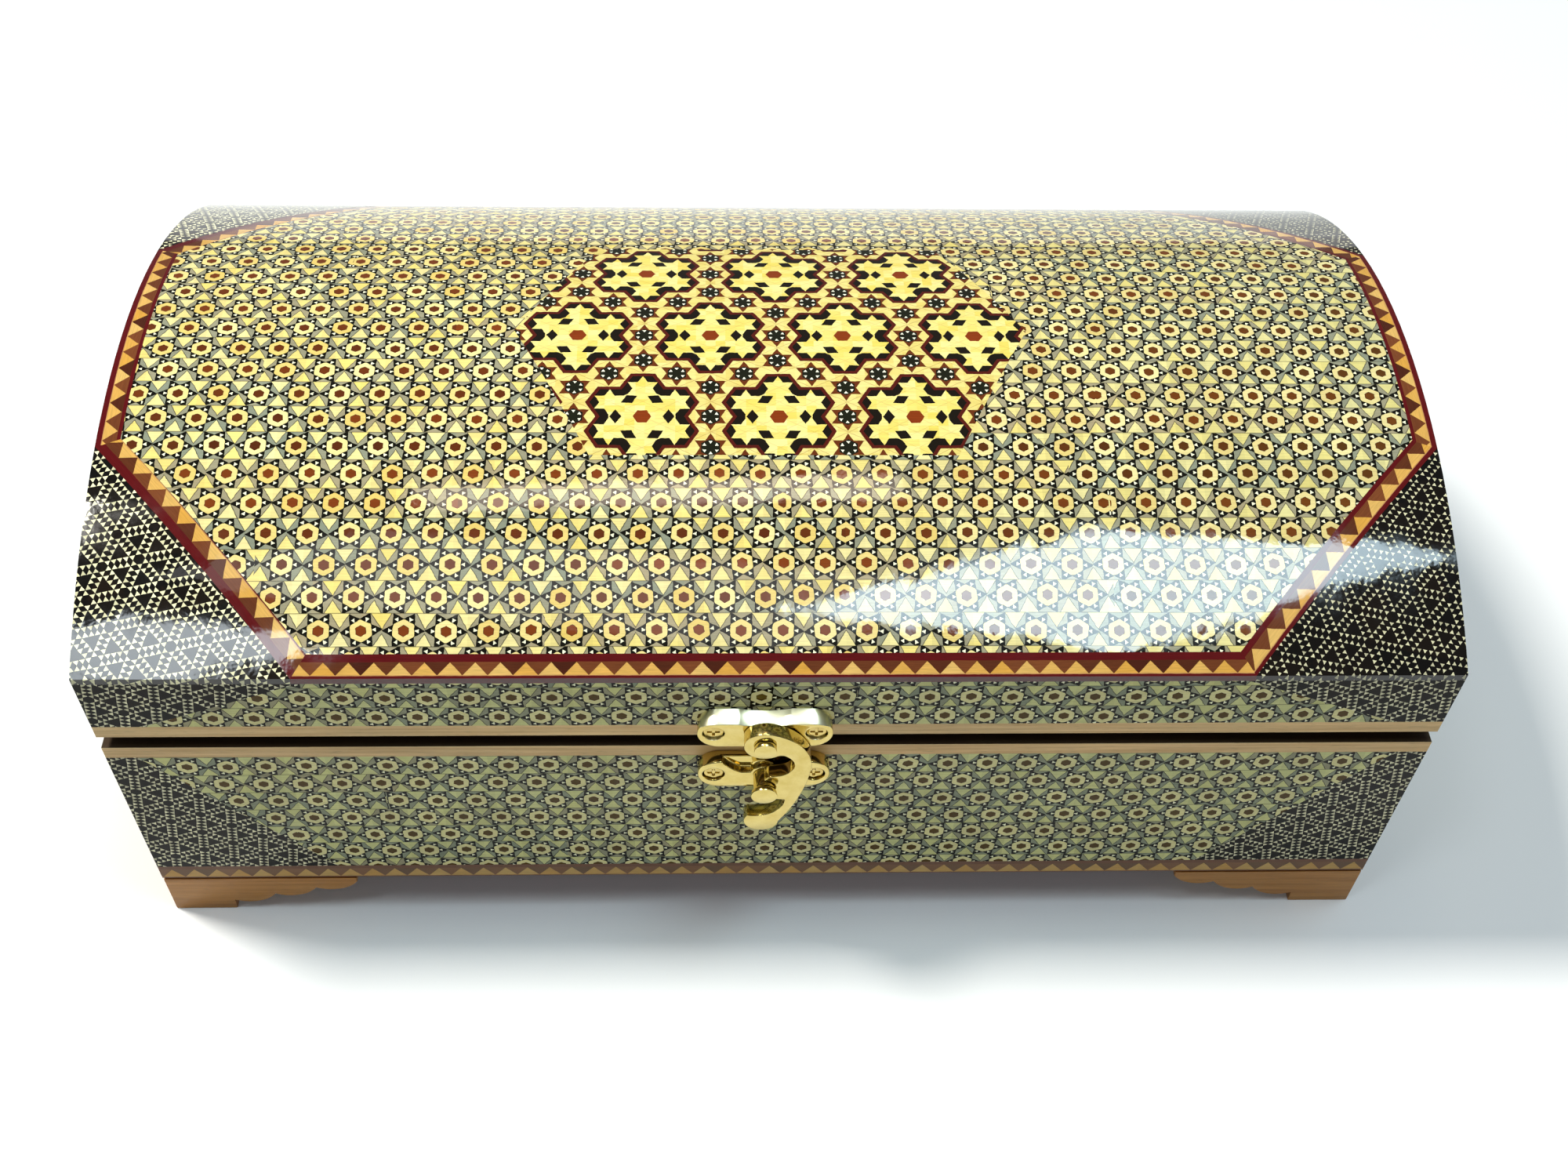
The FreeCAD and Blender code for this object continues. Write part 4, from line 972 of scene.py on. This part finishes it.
softened("clasp_top_plate", edgeLook["topPlate"], edgeLook["claspSteps"], reshape=slopeTop)
softened("clasp_keeper_plate", edgeLook["keeperPlate"], edgeLook["claspSteps"])
softened("clasp_hook", edgeLook["hook"], edgeLook["claspSteps"])
softened("clasp_keeper_post", edgeLook["post"])
softened("clasp_rivet", edgeLook["rivet"])
for node in screwNodes + hingeNodes:
    softened(node, edgeLook["fittings"])
print("copies softened")

# Velvet linings: pads of velvet over card, with rounded edges. A felt sheet is glued under the bottom.
liningLook = dict(edge=0.0009, segments=4, smoothAngle=60, fill=0.2, feltEdge=0.0002)
for node in [node for node in nodes if "lining" in node]:
    lining = softened(node, liningLook["edge"], liningLook["segments"], liningLook["smoothAngle"])
felt = softened("base_felt", liningLook["feltEdge"])

# Floor cushion: a thin velvet pad, crowned and flat below. Its sides pull in between the corners.
cushionLook = dict(
    cuts=60, edgeWidth=0.011, edgeHeight=0.42, pull=0.0003, ripple=0.00022,
    roundEdge=0.0005, roundSegments=3, roundFrom=50, fill=0.45,
)


def makeCushion(look):
    low, high = (Vector(corner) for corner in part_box("floor_cushion"))
    half = (high - low) / 2
    middle = (low + high) / 2
    edge = look["edgeHeight"]
    bpy.ops.object.select_all(action="DESELECT")
    bpy.ops.mesh.primitive_cube_add(size=2.0)
    pad = bpy.context.active_object
    pad.name = "floorPad"
    bpy.ops.object.mode_set(mode="EDIT")
    bpy.ops.mesh.subdivide(number_cuts=look["cuts"])
    bpy.ops.object.mode_set(mode="OBJECT")
    for vertex in pad.data.vertices:
        u, v, w = vertex.co
        inward = min((1 - abs(u)) * half.x, (1 - abs(v)) * half.y)
        swell = math.sqrt(1 - (1 - min(inward / look["edgeWidth"], 1.0)) ** 2)
        wave = math.sin(u * 9.0 + math.sin(v * 4.0) * 1.3) * math.sin(v * 6.0 + u * 2.0)  # slow and uneven
        top = 2 * half.z * (edge + (1 - edge) * swell) - look["ripple"] * (1 + wave) * swell
        x = u * (half.x - look["pull"] * (1 - v * v))
        y = v * (half.y - look["pull"] * (1 - u * u))
        vertex.co = (middle.x + x, middle.y + y, low.z + (w + 1) / 2 * top)
    applied(
        pad, "roundEdge", "BEVEL", width=look["roundEdge"], segments=look["roundSegments"],
        limit_method="ANGLE", angle_limit=math.radians(look["roundFrom"]),
    )
    bpy.ops.object.shade_smooth()
    pad.data.materials.append(finishes["velvet"])
    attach(pad, bodyOf["floor_cushion"])
    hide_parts("floor_cushion")


makeCushion(cushionLook)
print("soft pieces made")

# Camera at the photograph's place.
cameraLook = dict(
    place=(-0.013019, -0.336941, 0.380793), pitch=45.857, yaw=3.024, roll=-2.080,
    focalPixels=2526.669, imageWidth=2000, sensorWidth=36.0, clipStart=0.01,
)


def makeCamera(look):
    pitch, yaw, roll = (math.radians(look[name]) for name in ("pitch", "yaw", "roll"))
    forward = Vector((math.sin(yaw) * math.cos(pitch), math.cos(yaw) * math.cos(pitch), -math.sin(pitch)))
    level = Vector((math.cos(yaw), -math.sin(yaw), 0.0))
    down = forward.cross(level)
    right = level * math.cos(roll) + down * math.sin(roll)
    low = level * -math.sin(roll) + down * math.cos(roll)
    data = bpy.data.cameras.new("photoCamera")
    data.sensor_width = look["sensorWidth"]
    data.lens = look["focalPixels"] * look["sensorWidth"] / look["imageWidth"]
    data.clip_start = look["clipStart"]
    camera = bpy.data.objects.new("photoCamera", data)
    scene.collection.objects.link(camera)
    turned = Matrix((right, -low, -forward)).transposed().to_4x4()
    camera.matrix_world = Matrix.Translation(look["place"]) @ turned
    scene.camera = camera


# Studio: a pale floor with a low wall far off, an even sky and soft boxes overhead. Where the lamps' light
# falls off, the floor glows for the camera and for reflections.
studioLook = dict(
    sky=(0.16, 0.165, 0.17), floor=(0.86, 0.86, 0.86), floorBounce=(0.50, 0.52, 0.48),
    floorRadius=14.0, floorSides=96, wallHeight=1.2, mottleScale=3.0, mottleTone=(0.99, 1.0),
    floorRoughness=0.9, floorShine=0.1, glowColor=(1.0, 1.0, 1.0),
    nearGlow=0.04, farGlow=0.84, glowFrom=0.5, glowTo=2.3, aim=(0.0, 0.0, 0.08),
)
lamps = (
    dict(name="rightBox", place=(0.72, -0.42, 3.2), size=(1.12, 0.74), watts=38.0, tint=(0.70, 0.90, 1.0)),
    dict(name="leftBox", place=(-1.05, -1.15, 3.2), size=(0.50, 0.55), watts=9.0, tint=(0.86, 0.95, 1.0)),
    dict(name="sideBox", place=(-0.75, 0.075, 1.54), size=(0.28, 0.28), watts=25.5, tint=(1.0, 0.97, 0.90)),
    dict(name="topPanel", place=(-0.25, -0.42, 3.25), size=(1.30, 0.75), watts=4.5, tint=(1.0, 0.99, 0.97)),
    dict(name="glowBox", place=(-0.10, 0.64, 3.2), size=(0.85, 0.30), watts=5.0, tint=(1.0, 0.84, 0.68)),
)


def makeFloor(look):
    bpy.ops.object.select_all(action="DESELECT")
    bpy.ops.mesh.primitive_circle_add(
        vertices=look["floorSides"], radius=look["floorRadius"], fill_type="NGON",
    )
    floor = bpy.context.active_object
    floor.name = "paleFloor"
    bpy.ops.object.mode_set(mode="EDIT")
    bpy.ops.mesh.select_mode(type="EDGE")
    bpy.ops.mesh.select_all(action="SELECT")
    bpy.ops.mesh.extrude_edges_move(TRANSFORM_OT_translate={"value": (0.0, 0.0, look["wallHeight"])})
    bpy.ops.object.mode_set(mode="OBJECT")
    material, tree, shader, place = newMaterial("paleFloor")
    spot = Wire(place.outputs["Object"])
    tone = ramp(cloud(tree, spot, look["mottleScale"], 3.0), 0.3, 0.7, *look["mottleTone"])
    ray = tree.nodes.new("ShaderNodeLightPath")
    seen = Wire(ray.outputs["Is Camera Ray"])
    seen = seen.most(Wire(ray.outputs["Is Glossy Ray"])).most(Wire(ray.outputs["Is Transmission Ray"]))
    shown = blendColor(tree, seen, look["floorBounce"], look["floor"])
    measure = addNode(tree, "ShaderNodeVectorMath", {"operation": "LENGTH"})
    plug(spot, measure.inputs[0])
    away = Wire(measure.outputs["Value"])
    glow = ramp(away, look["glowFrom"], look["glowTo"], look["nearGlow"], look["farGlow"])
    plug(shaded(tree, shown, tone), shader.inputs["Base Color"])
    plug(seen * glow, shader.inputs["Emission Strength"])
    shader.inputs["Emission Color"].default_value = (*look["glowColor"], 1.0)
    shader.inputs["Roughness"].default_value = look["floorRoughness"]
    shader.inputs["Specular IOR Level"].default_value = look["floorShine"]
    floor.data.materials.append(material)


def makeLights(look):
    world = bpy.data.worlds.new("evenSky")
    world.use_nodes = True
    world.node_tree.nodes["Background"].inputs["Color"].default_value = (*look["sky"], 1.0)
    scene.world = world
    for lamp in lamps:
        data = bpy.data.lights.new(lamp["name"], "AREA")
        data.shape = "RECTANGLE"
        data.size, data.size_y = lamp["size"]
        data.energy = lamp["watts"]
        data.color = lamp["tint"]
        light = bpy.data.objects.new(lamp["name"], data)
        scene.collection.objects.link(light)
        light.location = lamp["place"]
        aim = Vector(look["aim"]) - Vector(lamp["place"])
        light.rotation_euler = aim.to_track_quat("-Z", "Y").to_euler()


makeCamera(cameraLook)
makeFloor(studioLook)
makeLights(studioLook)
print("camera and studio set")
